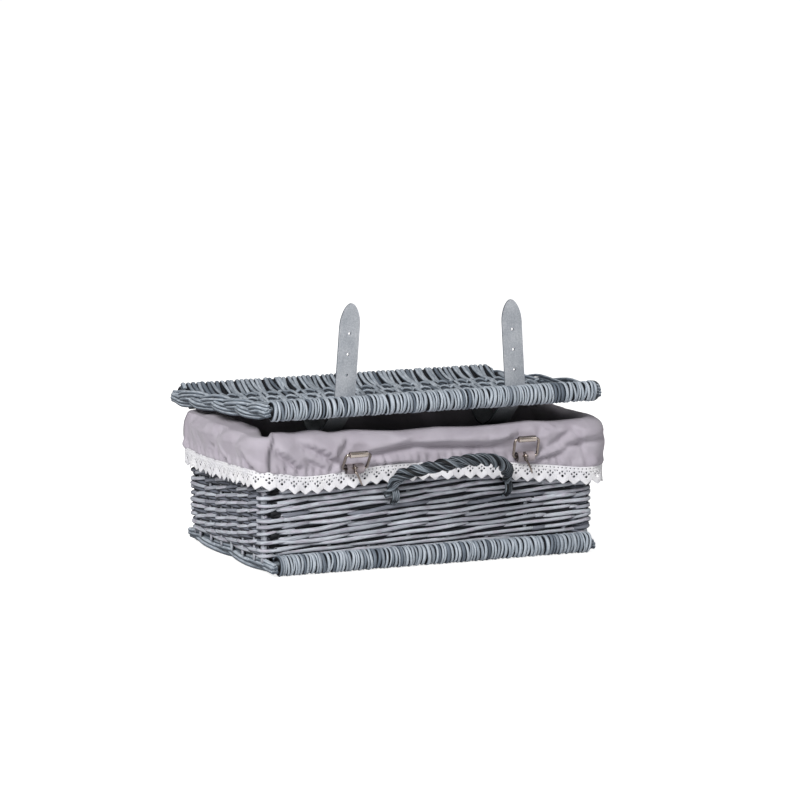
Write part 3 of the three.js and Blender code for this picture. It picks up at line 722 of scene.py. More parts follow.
@dataclass
class WrappedRoll(Assembly):
    """Thin willow rods wrapped side by side round a stick."""

    name: str
    body: str
    seed: int
    rod_width: float = 3.35
    spread: float = 0.85
    thickness: float = 4.2
    ring_points: int = 26
    end_loop: bool = False

    def dress(self) -> None:
        """Build the rings and the stick inside them."""
        node = f"{self.name}_roll"
        low, high = cad_box(node)
        self.centre = (low + high) / 2
        self.radius = (high[2] - low[2]) / 2
        self.rods = RodBundle(f"{self.name}_wrapped_rods", self.seed)
        rng = self.rods.rng
        place = low[0] + 1.0
        while place < high[0] - 1.0:
            width = float(np.clip(rng.normal(self.rod_width, self.spread), 2.2, 6.2))
            self.ring(place + width / 2, width)
            place += width * rng.uniform(1.0, 1.2)
            if rng.uniform() < 0.1:
                place += rng.uniform(0.5, 1.3)
        # A near-black core under the wraps: painted shade in the gaps between them.
        core = np.array([[low[0] + 2, *self.centre[1:]], [high[0] - 2, *self.centre[1:]]])
        inner = self.radius - self.thickness * 0.72
        self.rods.add(resample(core, 20), inner, (0, 0, 1), 14, tone=0.0)
        settle(self.rods.build(self.palette.willow), self.body, "willow", node)
        self.stick()

    def ring(self, place: float, width: float) -> None:
        """Add one wrapped rod.

        Args:
            place: Place of the rod along the roll.
            width: Width of the rod.
        """
        rng = self.rods.rng
        angle = np.arange(self.ring_points) * TURN / self.ring_points
        lean = rng.normal(0, 0.7)
        sway = rng.normal(0, 0.35)
        out = arc(1.0, angle)
        path = self.centre + (self.radius - self.thickness / 2 - rng.uniform(0, 0.9)) * out
        path[:, 0] = place + lean * np.sin(angle + rng.uniform(-0.4, 0.4)) + sway * np.sin(2 * angle)
        tone = two_tones(rng, 0.14, (0.16, 0.32), (0.4, 1.0))
        self.rods.add(path, width / 2, out, 8, True, self.thickness / width, tone)

    def stick(self) -> None:
        """Build the stick with its cut ends."""
        node = f"{self.name}_stick"
        ends, radius = long_axis(node)
        rods = RodBundle(f"{self.name}_core_stick", self.seed + 1)
        path = resample(ends, 6)
        size = np.full(len(path), radius)
        size[[0, -1]] *= 0.88
        rods.add(path, size, (0, 0, 1), 16, tone=0.5)
        if self.end_loop:
            turn = np.linspace(-1.75, 1.75, 16)
            loop = np.stack([8.5 * np.cos(turn) - 4, np.full(16, -1.0), 9.5 * np.sin(turn)], axis=1)
            rods.add(ends[1] + loop, 2.2, (0, -1, 0), 8, tone=0.35)
        settle(rods.build(self.palette.dark_willow), self.body, "dark_willow", node)


@dataclass
class WovenPanel(Assembly):
    """Rods that run from one roll to the other, tied by rows of twined rods."""

    part: str
    body: str
    seed: int
    rows: tuple[float, ...]
    lift: float = 0.0
    rod_pitch: float = 5.8
    rise: float = 2.6
    lean: float = 0.0
    over_back: bool = False
    rod_sizes: Span = (2.35, 3.15)
    packing_radius: float = 2.6
    twined_radius: float = 2.75
    edge: float = 2.0

    def measure(self) -> None:
        """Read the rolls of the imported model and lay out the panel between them."""
        self.low, self.high = cad_box(f"{self.part}_front_roll")
        self.start = (self.low + self.high)[1:] / 2
        finish = sum(cad_box(f"{self.part}_back_roll"))[1:] / 2
        self.depth = float(np.linalg.norm(finish - self.start))
        self.forward = (finish - self.start) / self.depth
        self.normal = np.array([-self.forward[1], self.forward[0]])
        self.outward = np.array([0.0, *self.normal])
        self.roll = (self.high[2] - self.low[2]) / 2
        wide = self.high[0] - self.low[0]
        self.count = 2 * round(wide / self.rod_pitch / 2)
        self.rod_pitch = wide / self.count

    def dress(self) -> None:
        """Build the panel."""
        self.measure()
        self.rods = RodBundle(f"{self.part}_weave_rods", self.seed)
        first = self.low[0] + self.rod_pitch * 0.5
        spare = math.ceil(self.lean)
        for index in range(-spare, self.count):
            nudge = 0.45 * (-1) ** index + self.rods.rng.normal(0, 0.6)
            self.long_rod(index, first + self.rod_pitch * index + nudge)
        for number, share in enumerate(self.rows):
            for twin in range(2):
                self.twined_rod(number, share, twin)
        for index in range(-spare, self.count - 1):
            self.packing_rod(index, first + self.rod_pitch * (index + 0.5))
        settle(self.rods.build(self.palette.willow), self.body, "willow", f"{self.part}_weave")

    def at(self, across: Array, down: Array, height: Array) -> Array:
        """Turn places in the panel into points.

        Args:
            across: Places along the rolls.
            down: Distances from the front roll.
            height: Heights over the panel.

        Returns:
            The points, n by 3.
        """
        across, down, height = np.broadcast_arrays(across, down, height)
        flat = self.start + down[:, None] * self.forward + (height + self.lift)[:, None] * self.normal
        return np.concatenate([across[:, None], flat], axis=1)

    def lay(self, path: Array, radius: float | Array, sides: int, tone: float) -> None:
        """Add a rod where it lies between the ends of the rolls.

        Args:
            path: Points of its middle line, n by 3.
            radius: One radius, or one for each point.
            sides: Number of sides of the rod.
            tone: Its tone.
        """
        inside = (path[:, 0] > self.low[0] + self.edge) & (path[:, 0] < self.high[0] - self.edge)
        size = np.broadcast_to(radius, inside.shape)
        if inside.sum() > 3:
            self.rods.add(path[inside], size[inside], self.outward, sides, tone=tone, both=True)

    def long_rod(self, index: int, place: float) -> None:
        """Add one rod from roll to roll.

        Args:
            index: Number of the rod.
            place: Its place along the rolls.
        """
        rng = self.rods.rng
        down = self.stations(self.roll * 0.55, 64)
        slant = rng.normal(0, 1.0) * np.sin(math.pi * down / self.depth)
        slant = slant + rng.normal(0, 2.4) * np.sin(TURN * down / self.depth)
        swell = 1 + 0.12 * np.cos(down / self.depth * math.pi * (-1) ** index)
        radius = rng.uniform(*self.rod_sizes) * swell
        tone = two_tones(rng, 0.12, (0.16, 0.3), (0.4, 1.0))
        path = self.at(place + slant + self.shift(down), down, self.heights(index, down))
        self.lay(path, radius, 8, tone)

    def packing_rod(self, index: int, place: float) -> None:
        """Add one dark rod between two others that closes the gap.

        Args:
            index: Number of the first of the two.
            place: Its place along the rolls.
        """
        # Painted shade: a near-black rod under the gap between two rods.
        down = self.stations(self.roll * 0.8, 40)
        level = np.minimum(self.heights(index, down), self.heights(index + 1, down))
        self.lay(self.at(place + self.shift(down), down, level - 2.0), self.packing_radius, 6, 0.08)

    def stations(self, gap: float, count: int) -> Array:
        """Spread places along a rod that keeps a gap from the axes of the rolls."""
        last = self.depth + 3.0 if self.over_back else self.depth - gap
        return np.linspace(gap, last, count)

    def shift(self, down: Array | float) -> Array | float:
        """Find how far the rods lean to the right at distances from the front roll."""
        return self.lean * self.rod_pitch * down / self.depth

    def heights(self, index: int, down: Array) -> Array:
        """Find the height of one rod from roll to roll.

        Args:
            index: Number of the rod.
            down: Distances from the front roll.

        Returns:
            The heights over the panel.
        """
        knots = [0.0, *(share * self.depth for share in self.rows), self.depth]
        signs = [1.0 if (index // 2 + number) % 2 == 0 else -1.0 for number in range(len(self.rows))]
        end = self.roll * 0.62 - 2.5
        levels = [end, *(sign * self.rise for sign in signs), end]
        if not self.over_back:
            return eased(down, knots, levels)
        levels[-1] = 0.0
        top = self.roll + 0.9
        share = np.clip((down - knots[-2]) / (self.depth - 0.57 * top - knots[-2]), 0.0, None)
        climb = 0.82 * top * np.minimum(share, 1.0) ** 2
        arch = np.sqrt(np.maximum(top**2 - (down - self.depth) ** 2, 0.0))
        return np.where(share < 1.0, eased(down, knots, levels) + climb, arch)

    def twined_rod(self, number: int, share: float, twin: int) -> None:
        """Add one of the two rods that twine across the panel.

        Args:
            number: Number of the row.
            share: Place of the row, as a share of the depth.
            twin: 0 or 1.
        """
        rng = self.rods.rng
        across = np.arange(self.low[0] + 1.0, self.high[0] - 1.0, 2.2)
        first = self.low[0] + self.shift(share * self.depth)
        turn = ((across - first) / self.rod_pitch - 0.5) * math.pi / 2 + math.pi * (number + twin)
        height = -np.sin(turn + math.pi / 4) * (self.rise + 0.8)
        down = share * self.depth + (3.0 if twin else -3.0) * np.cos(turn + math.pi / 4)
        path = self.at(across, down + Wobble(rng, 1.3, (90, 160, 300))(across), height)
        radius = self.twined_radius + Wobble(rng, 0.3, (150, 260))(across)
        tone = float(rng.uniform(0.4, 0.9))
        self.rods.add(path, radius, self.outward, 8, tone=tone, both=True)


@dataclass
class Plait(Assembly):
    """A border of long rods plaited in three strands along the end of a panel."""

    part: str
    side: Side
    body: str
    seed: int
    pitch: float
    tall: float
    lift: float = 0.0
    deep: float = 3.0
    strands: int = 3
    rods_each: int = 2
    rod_radius: float = 2.55
    overrun: float = 6.0
    narrowing: float = 26.0

    def dress(self) -> None:
        """Build the plait."""
        node = f"{self.part}_{self.side}_plait"
        start, finish = (sum(cad_box(f"{self.part}_{end}_roll")) / 2 for end in End)
        start[0] = finish[0] = sum(cad_box(node))[0] / 2
        outward = np.array([math.copysign(1.0, start[0]), 0.0, 0.0])
        length = float(np.linalg.norm(finish - start))
        forward = (finish - start) / length
        up = np.cross(forward, outward) * math.copysign(1.0, start[0])
        up = up if up[2] > 0 else -up
        rods = RodBundle(f"{node}_rods", self.seed)
        along = np.linspace(-self.overrun, length + self.overrun, 110)
        ends = smooth_step(self.narrowing, 0, along) + smooth_step(length - self.narrowing, length, along)
        envelope = 1 - 0.45 * ends
        for strand in range(self.strands):
            phase = TURN * along / self.pitch + strand * TURN / self.strands
            height = self.tall * np.cos(phase) * envelope + self.lift
            depth = self.deep * np.sin(2 * phase) * envelope
            slope = -np.sin(phase)
            for member in range(self.rods_each):
                shift = (member - (self.rods_each - 1) / 2) * self.rod_radius * 1.75
                sway = Wobble(rods.rng, 0.45, (60, 110))(along)
                path = start + along[:, None] * forward
                path = path + (height + shift * (0.55 + 0.45 * envelope) + sway)[:, None] * up
                path = path + (depth + 0.7 * sway - 0.25 * abs(shift) + 0.3 * slope)[:, None] * outward
                radius = self.rod_radius * rods.rng.uniform(0.85, 1.12)
                tone = float(rods.rng.uniform(0.5, 1.0))
                # Faces partly upward, so the painted light falls on the top of each rod; least softens its
                # painted shade.
                rods.add(path, radius, unit(0.3 * outward + up), 8, tone=tone, least=0.65)
        settle(rods.build(self.palette.willow), self.body, "willow", node)


@dataclass
class Outline:
    """A rounded rectangle in plan, measured from the front left corner along the front."""

    centre: Array
    half: Array
    corner: float

    def __post_init__(self) -> None:
        """Measure the straights and the turns."""
        wide, deep = 2 * (self.half - self.corner)
        self.turn = math.pi / 2 * self.corner
        legs = [wide, self.turn, deep, self.turn] * 2
        self.length = float(sum(legs))
        self.marks = np.concatenate([[0.0], np.cumsum(legs)])

    def __call__(self, along: Array) -> tuple[Array, Array]:
        """Find points on the outline.

        Args:
            along: Distances from the front left corner, counter clockwise from above.

        Returns:
            The points and the directions out of the outline, n by 2 each.
        """
        place = np.mod(np.asarray(along, float), self.length)
        points = np.zeros((*place.shape, 2))
        normals = np.zeros((*place.shape, 2))
        inner = self.half - self.corner
        corners = inner * [(-1, -1), (1, -1), (1, 1), (-1, 1)]
        for number in range(4):
            turn = (number - 1) * math.pi / 2
            out = np.array([math.cos(turn), math.sin(turn)])
            ahead = np.array([-out[1], out[0]])
            first, corner, last = self.marks[2 * number : 2 * number + 3]
            flat = (place >= first) & (place <= corner)
            run = corners[number] + self.corner * out
            points[flat] = run + (place[flat] - first)[:, None] * ahead
            normals[flat] = out
            bend = (place > corner) & (place <= last)
            angle = turn + (place[bend] - corner) / self.corner
            way = np.stack([np.cos(angle), np.sin(angle)], axis=1)
            points[bend] = corners[(number + 1) % 4] + self.corner * way
            normals[bend] = way
        return points + self.centre, normals


@dataclass
class BasketWalls(Assembly):
    """Woven willow walls: stakes, rows of rods that pass in and out of them, and a rim."""

    seed: int = 40
    row_pitch: float = 4.25
    rod_radius: float = 2.75
    stake_radius: float = 2.6
    post_radius: float = 4.2
    swing: float = 3.9
    packing: float = 0.55
    spacing: float = 4.5
    overrun: float = 14.0
    slant: float = 3.7
    corner: float = 7.0
    front_stakes: int = 8
    side_stakes: int = 6

    def dress(self) -> None:
        """Build the walls."""
        self.measure()
        self.rods = RodBundle("wall_woven_rods", self.seed)
        level = self.floor + self.rod_radius
        row = 0
        while level < self.top - 1:
            self.row(row, level, 1.0)
            self.row(row + 2, level + self.row_pitch / 2, -self.packing)
            level += self.row_pitch * self.rods.rng.uniform(0.9, 1.08)
            row += 1
        walls = ("front_wall", "right_wall", "back_wall", "left_wall")
        settle(self.rods.build(self.palette.wall), "basket", "willow", *walls)
        self.stakes()
        self.rim()

    def measure(self) -> None:
        """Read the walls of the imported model."""
        near, far = wall_plan()
        left_low, left_high = cad_box("left_wall")
        thick = (left_high[0] - left_low[0]) / 2
        self.floor, self.top = (corner[2] for corner in cad_box("front_wall"))
        self.outline = Outline((near + far) / 2, (far - near) / 2 - thick, self.corner)
        marks = self.outline.marks
        self.corners = (marks[1::2] + marks[2::2]) / 2
        places: list[float] = []
        for number, count in enumerate((self.front_stakes, self.side_stakes) * 2):
            first, last = marks[2 * number], marks[2 * number + 1]
            places.extend(np.linspace(first, last, count + 1)[:-1] + (last - first) / count / 2)
            places.append(self.corners[number])
        self.places = np.array(places)

    def sign(self, number: int, row: int) -> float:
        """Say whether a row passes outside a stake, 1, or inside it, -1."""
        place = number % (self.front_stakes + self.side_stakes + 2)
        return -1.0 if (place + row) % (2 if place > self.front_stakes else 3) == 0 else 1.0

    def weave(self, along: Array, row: int) -> Array:
        """Find how far out a row lies.

        Args:
            along: Distances round the outline.
            row: Number of the row.

        Returns:
            Shares of the swing out of the middle of the wall.
        """
        signs = [self.sign(number, row) for number in range(len(self.places))]
        total = self.outline.length
        knots = np.concatenate([self.places[-1:] - total, self.places, self.places[:1] + total])
        return eased(np.mod(along, total), knots, [signs[-1], *signs, signs[0]])

    def climb(self, along: Array, row: int) -> Array:
        """Find how much a row climbs from one hidden place to the next.

        Args:
            along: Distances round the outline.
            row: Number of the row.

        Returns:
            The heights over the row.
        """
        hidden = [place for number, place in enumerate(self.places) if self.sign(number, row) < 0]
        total = self.outline.length
        knots: list[float] = []
        heights: list[float] = []
        for place in [hidden[-1] - total, *hidden, hidden[0] + total]:
            knots.extend((place - 9.0, place + 9.0))
            heights.extend((self.slant, -self.slant))
        return np.interp(np.mod(along, total), knots, heights)

    def row(self, row: int, level: float, side: float) -> None:
        """Add the rods of one row.

        Args:
            row: Number of the row.
            level: Height of the row.
            side: 1 for the row seen from outside, less for the packing behind it, which is painted as shade.
        """
        rng = self.rods.rng
        total = self.outline.length
        low = 0.3 + 0.7 * float(smooth_step(self.floor + 4, self.floor + 16, level))
        cuts = [rng.uniform(*span) for span in ((8, 16), (300, 420), (640, 800), (17, 30))]
        cuts[-1] += total
        shared = Wobble(np.random.default_rng(self.seed + 7 + row // 4), 1.1, (170, 310, 420))
        for first, last in zip(cuts[:-1], cuts[1:]):
            step = self.spacing if side > 0 else 2 * self.spacing
            count = int((last - first + 2 * self.overrun) / step)
            along = np.linspace(first - self.overrun, last + self.overrun, count)
            spot, normal = self.outline(along)
            out = self.weave(along, row) * self.swing * low * side
            if side > 0:
                tuck = smooth_step(first + 4, first - 11, along) + smooth_step(last - 4, last + 11, along)
                out = out * (1 - tuck) - tuck * self.swing
            rise = shared(along) + Wobble(rng, 0.95, (70, 120, 260))(along)
            if side > 0:
                rise = rise + self.climb(along, row)
            path = raised(spot + out[:, None] * normal, level + rise * low)
            share = (along - along[0]) / (along[-1] - along[0])
            taper = self.rod_radius * rng.uniform(0.92, 1.14) * (1.08 - 0.26 * share)
            # Painted light and shade: rods face a little upward, so their tops are painted lighter and their
            # undersides darker, and on the front and back walls the rows behind face inward, so they are
            # painted as shade in the gaps.
            gap = np.min(np.abs(np.mod(along, total)[:, None] - self.corners), axis=1)
            painted_gap_shade = np.abs(normal[:, 1:]) * smooth_step(12, 30, gap)[:, None]
            facing = normal if side > 0 else normal * (0.45 - 1.45 * painted_gap_shade)
            outward = unit(raised(facing, 0.5))
            tone = 0.2 if side < 0 else two_tones(rng, 0.08, (0.26, 0.42), (0.5, 1.0))
            self.rods.add(path, taper, outward, 8 if side > 0 else 6, tone=tone)

    def stakes(self) -> None:
        """Build the upright stakes and the corner posts."""
        rods = RodBundle("wall_stakes", self.seed + 1)
        for place in self.places:
            post = np.min(np.abs(self.corners - place)) < 1e-6
            spot, normal = self.outline(np.array([place]))
            radius = self.post_radius if post else self.stake_radius
            inward = 2.2 if post else 0.0
            foot = spot[0] - inward * normal[0]
            heights = np.linspace(self.floor - 4, self.top + 1, 24)
            bend = Wobble(rods.rng, 0.5, (70, 130))(heights)
            path = np.stack([foot[0] + bend, foot[1] - bend, heights], axis=1)
            rods.add(path, radius, np.array([*normal[0], 0.0]), 10, tone=float(rods.rng.uniform(0.5, 0.9)))
        corners = ("front_left_corner", "front_right_corner", "back_left_corner", "back_right_corner")
        settle(rods.build(self.palette.wall), "basket", "willow", *corners)

    def rim(self) -> None:
        """Build the rods that close the top edge under the cloth."""
        rods = RodBundle("rim_rods", self.seed + 2)
        names = [f"{side}_rim_rod" for side in ("front", "right", "back", "left")]
        for node in names:
            ends, radius = long_axis(node)
            rods.add(resample(ends, 8), radius, (0, 0, 1), 10)
        settle(rods.build(self.palette.willow), "basket", "willow", *names)


def inside_polygon(points: Array, polygon: Array) -> Array:
    """Say which points lie inside a polygon.

    Args:
        points: Points in the plane, n by 2.
        polygon: Corners of the polygon in order.

    Returns:
        True for each point inside.
    """
    result = np.zeros(len(points), bool)
    for first, last in zip(polygon, np.roll(polygon, -1, axis=0)):
        crosses = (first[1] > points[:, 1]) != (last[1] > points[:, 1])
        slope = (last[0] - first[0]) / (last[1] - first[1] if last[1] != first[1] else 1e-12)
        result ^= crosses & (points[:, 0] < first[0] + slope * (points[:, 1] - first[1]))
    return result


def circle(middle: Sequence[float], radius: float, sides: int = 10) -> Array:
    """Lay out a circle."""
    angle = np.arange(sides) * TURN / sides + 0.2
    return np.asarray(middle, float) + radius * np.stack([np.cos(angle), np.sin(angle)], axis=1)


def flat_cut(outline: Array, holes: Sequence[Array], filling: Array) -> tuple[Array, Array]:
    """Cut a flat shape with holes into triangles.

    Args:
        outline: Corners of the shape in order.
        holes: Corners of each hole in order.
        filling: Extra points to use where they fall inside the shape.

    Returns:
        The points, n by 2, and the triangles, m by 3.
    """
    spare = filling[inside_polygon(filling, outline)]
    for hole in holes:
        middle = hole.mean(axis=0)
        reach = np.linalg.norm(hole - middle, axis=1).max() * 1.25
        spare = spare[np.linalg.norm(spare - middle, axis=1) > reach]
    loops = [outline, *holes]
    corners = np.concatenate([*loops, spare])
    edges: list[tuple[int, int]] = []
    first = 0
    for loop in loops:
        numbers = np.arange(len(loop))
        edges.extend((first + int(a), first + int(b)) for a, b in zip(numbers, np.roll(numbers, -1)))
        first += len(loop)
    flat = [Vector(corner) for corner in corners.tolist()]
    found = delaunay_2d_cdt(flat, edges, [], 0, 1e-6)
    points = np.array([tuple(spot) for spot in found[0]])
    triangles = np.array([tuple(face) for face in found[2]])
    middles = points[triangles].mean(axis=1)
    keep = inside_polygon(middles, outline)
    for hole in holes:
        keep &= ~inside_polygon(middles, hole)
    turned = points[triangles[keep]]
    cross = (turned[:, 1, 0] - turned[:, 0, 0]) * (turned[:, 2, 1] - turned[:, 0, 1])
    cross -= (turned[:, 1, 1] - turned[:, 0, 1]) * (turned[:, 2, 0] - turned[:, 0, 0])
    kept = triangles[keep]
    kept[cross < 0] = kept[cross < 0][:, ::-1]
    return points, kept


@dataclass
class ClothRelaxer:
    """Settles a closed band of cloth that is held along its top row and its hem.

    The grid is rows by columns by 3. Across and down are cut lengths, from each point to the next
    in its row and to the one below. Clear is the least distance out of the wall.
    """

    grid: Array
    across: Array
    down: Array
    outline: Outline
    clear: float

    def __post_init__(self) -> None:
        """Hold the first and the last row."""
        self.free = np.ones(self.grid.shape[:2])
        self.free[[0, -1]] = 0.0

    def pull(self, first: tuple[object, ...], last: tuple[object, ...], length: Array, stiff: float) -> None:
        """Move pairs of points toward their cut distance.

        Args:
            first: Index of the first points.
            last: Index of the last points.
            length: Cut distances.
            stiff: Share of the error to take out.
        """
        gap = self.grid[last] - self.grid[first]
        size = np.maximum(np.linalg.norm(gap, axis=-1), 1e-6)
        one, two = self.free[first], self.free[last]
        weight = np.maximum(one + two, 1e-6)
        move = (stiff * (size - length) / size / weight)[..., None] * gap
        self.grid[first] += one[..., None] * move
        self.grid[last] -= two[..., None] * move

    def settle(self, rounds: int, weight: float) -> Array:
        """Let the cloth hang.

        Args:
            rounds: Number of rounds.
            weight: Distance that it sinks in each round.

        Returns:
            The points, rows by columns by 3.
        """
        rows, columns = self.free.shape
        numbers = np.arange(columns)
        ahead = np.roll(numbers, -1)
        further = np.roll(numbers, -2)
        everything = np.arange(rows)[:, None]
        slope = np.hypot(self.across[:-1], self.down)
        for _ in range(rounds):
            self.grid[..., 2] -= weight * self.free
            for parity in (0, 1):
                some = numbers[parity::2]
                self.pull((everything, some), (everything, ahead[some]), self.across[:, some], 0.9)
                rung = np.arange(parity, rows - 1, 2)[:, None]
                self.pull((rung, numbers), (rung + 1, numbers), self.down[rung, numbers], 0.9)
                self.pull((rung, numbers), (rung + 1, ahead), slope[rung, numbers], 0.25)
                self.pull((rung, ahead), (rung + 1, numbers), slope[rung, numbers], 0.25)
            for start in range(4):
                some = numbers[start::4]
                self.pull((everything, some), (everything, further[some]), 2 * self.across[:, some], 0.1)
            self.push_out()
        for _ in range(2):
            self.iron()
        return self.grid

    def iron(self) -> None:
        """Take out creases that are finer than the cloth can make."""
        beside = (np.roll(self.grid, 1, axis=1) + np.roll(self.grid, -1, axis=1)) / 2
        mean = beside.copy()
        mean[1:-1] = (beside[1:-1] + (self.grid[:-2] + self.grid[2:]) / 2) / 2
        self.grid += 0.5 * self.free[..., None] * (mean - self.grid)

    def push_out(self) -> None:
        """Keep the cloth out of the wall."""
        flat = self.grid[..., :2] - self.outline.centre
        inner = self.outline.half - self.outline.corner
        past = np.abs(flat) - inner
        corner = np.maximum(past, 0.0)
        reach = np.linalg.norm(corner, axis=-1)
        depth = reach + np.minimum(past.max(axis=-1), 0.0) - self.outline.corner
        way = corner / np.maximum(reach, 1e-6)[..., None] * np.sign(flat)
        short = np.clip(self.clear - depth, 0.0, None) * self.free
        self.grid[1:, :, :2] += (short[..., None] * way)[1:]


@dataclass(frozen=True)
class Fold:
    """One fold of the cloth: a ridge with a hollow beside it, from one place to another."""

    start: Span
    end: Span
    width: float
    size: float

    def __call__(self, along: Array, height: Array) -> Array:
        """Find how far the fold stands out.

        Args:
            along: Distances along the face.
            height: Heights on it.

        Returns:
            The distances out of the face.
        """
        run = np.subtract(self.end, self.start)
        length = float(np.linalg.norm(run))
        step = run / length
        ahead = (along - self.start[0]) * step[0] + (height - self.start[1]) * step[1]
        aside = (height - self.start[1]) * step[0] - (along - self.start[0]) * step[1]
        fade = window((-0.2 * length, 0.3 * length), (1.25 * length, 0.7 * length), ahead)
        spread = np.where(aside > 0, 1.9, 0.68) * self.width
        ridge = np.exp(-((aside / spread) ** 2))
        hollow = np.exp(-(((aside + 1.15 * self.width) / (0.6 * self.width)) ** 2))
        return 2.1 * self.size * fade * (ridge - 0.75 * hollow)


@dataclass
class Lining(Assembly):
    """Cotton bag in the basket whose edge folds over the rim and hangs as a gathered skirt."""

    seed: int = 70
    columns: int = 760
    rim_rows: int = 8
    skirt_rows: int = 22
    bag_rows: int = 12
    bag_offset: float = -12.0
    skirt_offset: float = 7.4
    right_bulge: float = 7.0
    thickness: float = 0.9
    slack: float = 0.03
    rounds: int = 70
    sink: float = 0.012
    clear: float = 4.2
    furthest: float = 24.0
    back_in: float = 15.0
    buckle_in: float = 15.6
    buckle_room: float = 24.0
    gather_height: float = 7.0
    gather_reach: float = 5.0
    hem_reach: float = 16.0
    top_reach: float = 6.0
    corner: float = 14.0
    left_bag: float = -19.0
    left_crest: float = -13.0
    plait_edge: float = 188.6
    under_plait: float = 150.9
    under_lid: float = 155.6
    hem_front: tuple[Span, ...] = (
        (-198, 112), (-165, 106), (-140, 104), (-100, 108), (-50, 112), (10, 111), (60, 109),
        (108, 102.5), (155, 97), (200, 93.5),
    )
    top_front: tuple[Span, ...] = (
        (-184, 157.5), (-167, 154.5), (-158, 153.8), (-150, 155.5), (-134, 156), (-118, 151.5), (-92, 153.5),
        (-62, 150.5), (-37, 148.5), (10, 150), (51, 147.5), (85, 148), (119, 150), (150, 147.5), (184, 149),
    )
    top_left: tuple[Span, ...] = (
        (98, 156.5), (60, 157), (40, 156), (10, 157.5), (-20, 156.5), (-50, 157.5), (-75, 156.5),
        (-90, 157.5),
    )
    front_folds: tuple[Fold, ...] = (
        Fold((-158, 153), (-106, 126), 6.5, 3.2),
        Fold((-184, 144), (-152, 120), 5.5, 2.8),
        Fold((-148, 131), (-122, 116), 4.5, 1.8),
        Fold((-98, 145), (-114, 126), 5.0, -2.2),
        Fold((-84, 133), (-20, 142), 6.5, 2.8),
        Fold((-34, 141), (82, 134), 6.5, 3.2),
        Fold((-42, 145), (5, 150), 5.0, 2.2),
        Fold((-76, 118.5), (-22, 118), 3.0, 1.8),
        Fold((70, 135), (98, 139), 4.0, 2.2),
        Fold((112, 108.5), (156, 120), 3.4, 3.0),
        Fold((128, 138), (146, 151), 4.6, -2.4),
        Fold((158, 127), (192, 137), 6.0, 2.8),
        Fold((176, 146), (192, 114), 7.0, 2.0),
        Fold((134, 126), (162, 146), 6.0, 2.0),
    )
    left_folds: tuple[Fold, ...] = (
        Fold((80, 136), (50, 154), 8.0, 2.4),
        Fold((48, 138), (12, 158), 9.0, 3.2),
        Fold((-4, 134), (-44, 157), 9.0, 3.4),
        Fold((-60, 136), (-98, 158), 9.0, 3.2),
        Fold((12, 128), (16, 112), 4.5, -1.6),
        Fold((-12, 128), (-30, 113), 5.0, -1.8),
        Fold((-80, 132), (-93, 113), 5.0, -2.0),
    )

    def measure(self) -> None:
        """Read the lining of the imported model."""
        near, far = wall_plan()
        self.floor = cad_box("lining")[0][2] + 2.0
        self.shoulder = cad_box("front_wall")[1][2] + 1.0
        self.outline = Outline((near + far) / 2, (far - near) / 2, self.corner)
        self.along = np.arange(self.columns) * self.outline.length / self.columns
        inner = self.outline.half - self.outline.corner
        self.front_start = float(self.outline.centre[0] - inner[0])
        self.left_start = float(self.outline.centre[1] + inner[1])
        self.spot, self.normal = self.outline(self.along)
        marks = self.outline.marks
        bulge = window((marks[1] - 45, marks[1] + 8), (marks[3] + 20, marks[3] - 60), self.along)
        self.skirt = (self.skirt_offset + self.right_bulge * bulge)[:, None]
        self.left = window((marks[6] + 4, marks[6] + 34), (marks[7] - 4, marks[7] - 34), self.along)[:, None]
        self.bag = self.bag_offset + (self.left_bag - self.bag_offset) * self.left
        self.edges()

    def edges(self) -> None:
        """Lay out the heights of the hem and of the fold over the rim."""
        marks = self.outline.marks
        hem = [(max(0.0, min(x - self.front_start, marks[1])), z) for x, z in self.hem_front]
        hem += [(marks[2] + 30, 97.0), (marks[3], 104.0), (marks[4] + 120, 108.0), (marks[5], 110.0)]
        hem += [(marks[6] + 60, 108.0), (marks[6] + 130, 111.0), (marks[7], 114.0)]
        top = [(x - self.front_start, z) for x, z in self.top_front]
        top += [(marks[2] + 10, 150.5), (marks[2] + 80, 148.0), (marks[3] - 20, 150.5)]
        top += [(marks[4] + 40, 150.0), (marks[4] + 180, 148.5), (marks[5] - 40, 150.5)]
        top += [(marks[6] + self.left_start - y, z) for y, z in self.top_left]
        self.hem_knots = hem
        self.top_knots = top

    def read(self, table: Sequence[Span], along: Array, reach: float) -> Array:
        """Read a height from knots round the outline.

        Args:
            table: Distances round the outline with their heights.
            along: Places to read.
            reach: Distance over which the heights are averaged.

        Returns:
            The heights.
        """
        total = self.outline.length
        knots = np.array([*table, (table[0][0] + total, table[0][1])])
        shifts = np.linspace(-reach, reach, 7)
        return np.mean([np.interp(along + shift, *knots.T, period=total) for shift in shifts], axis=0)

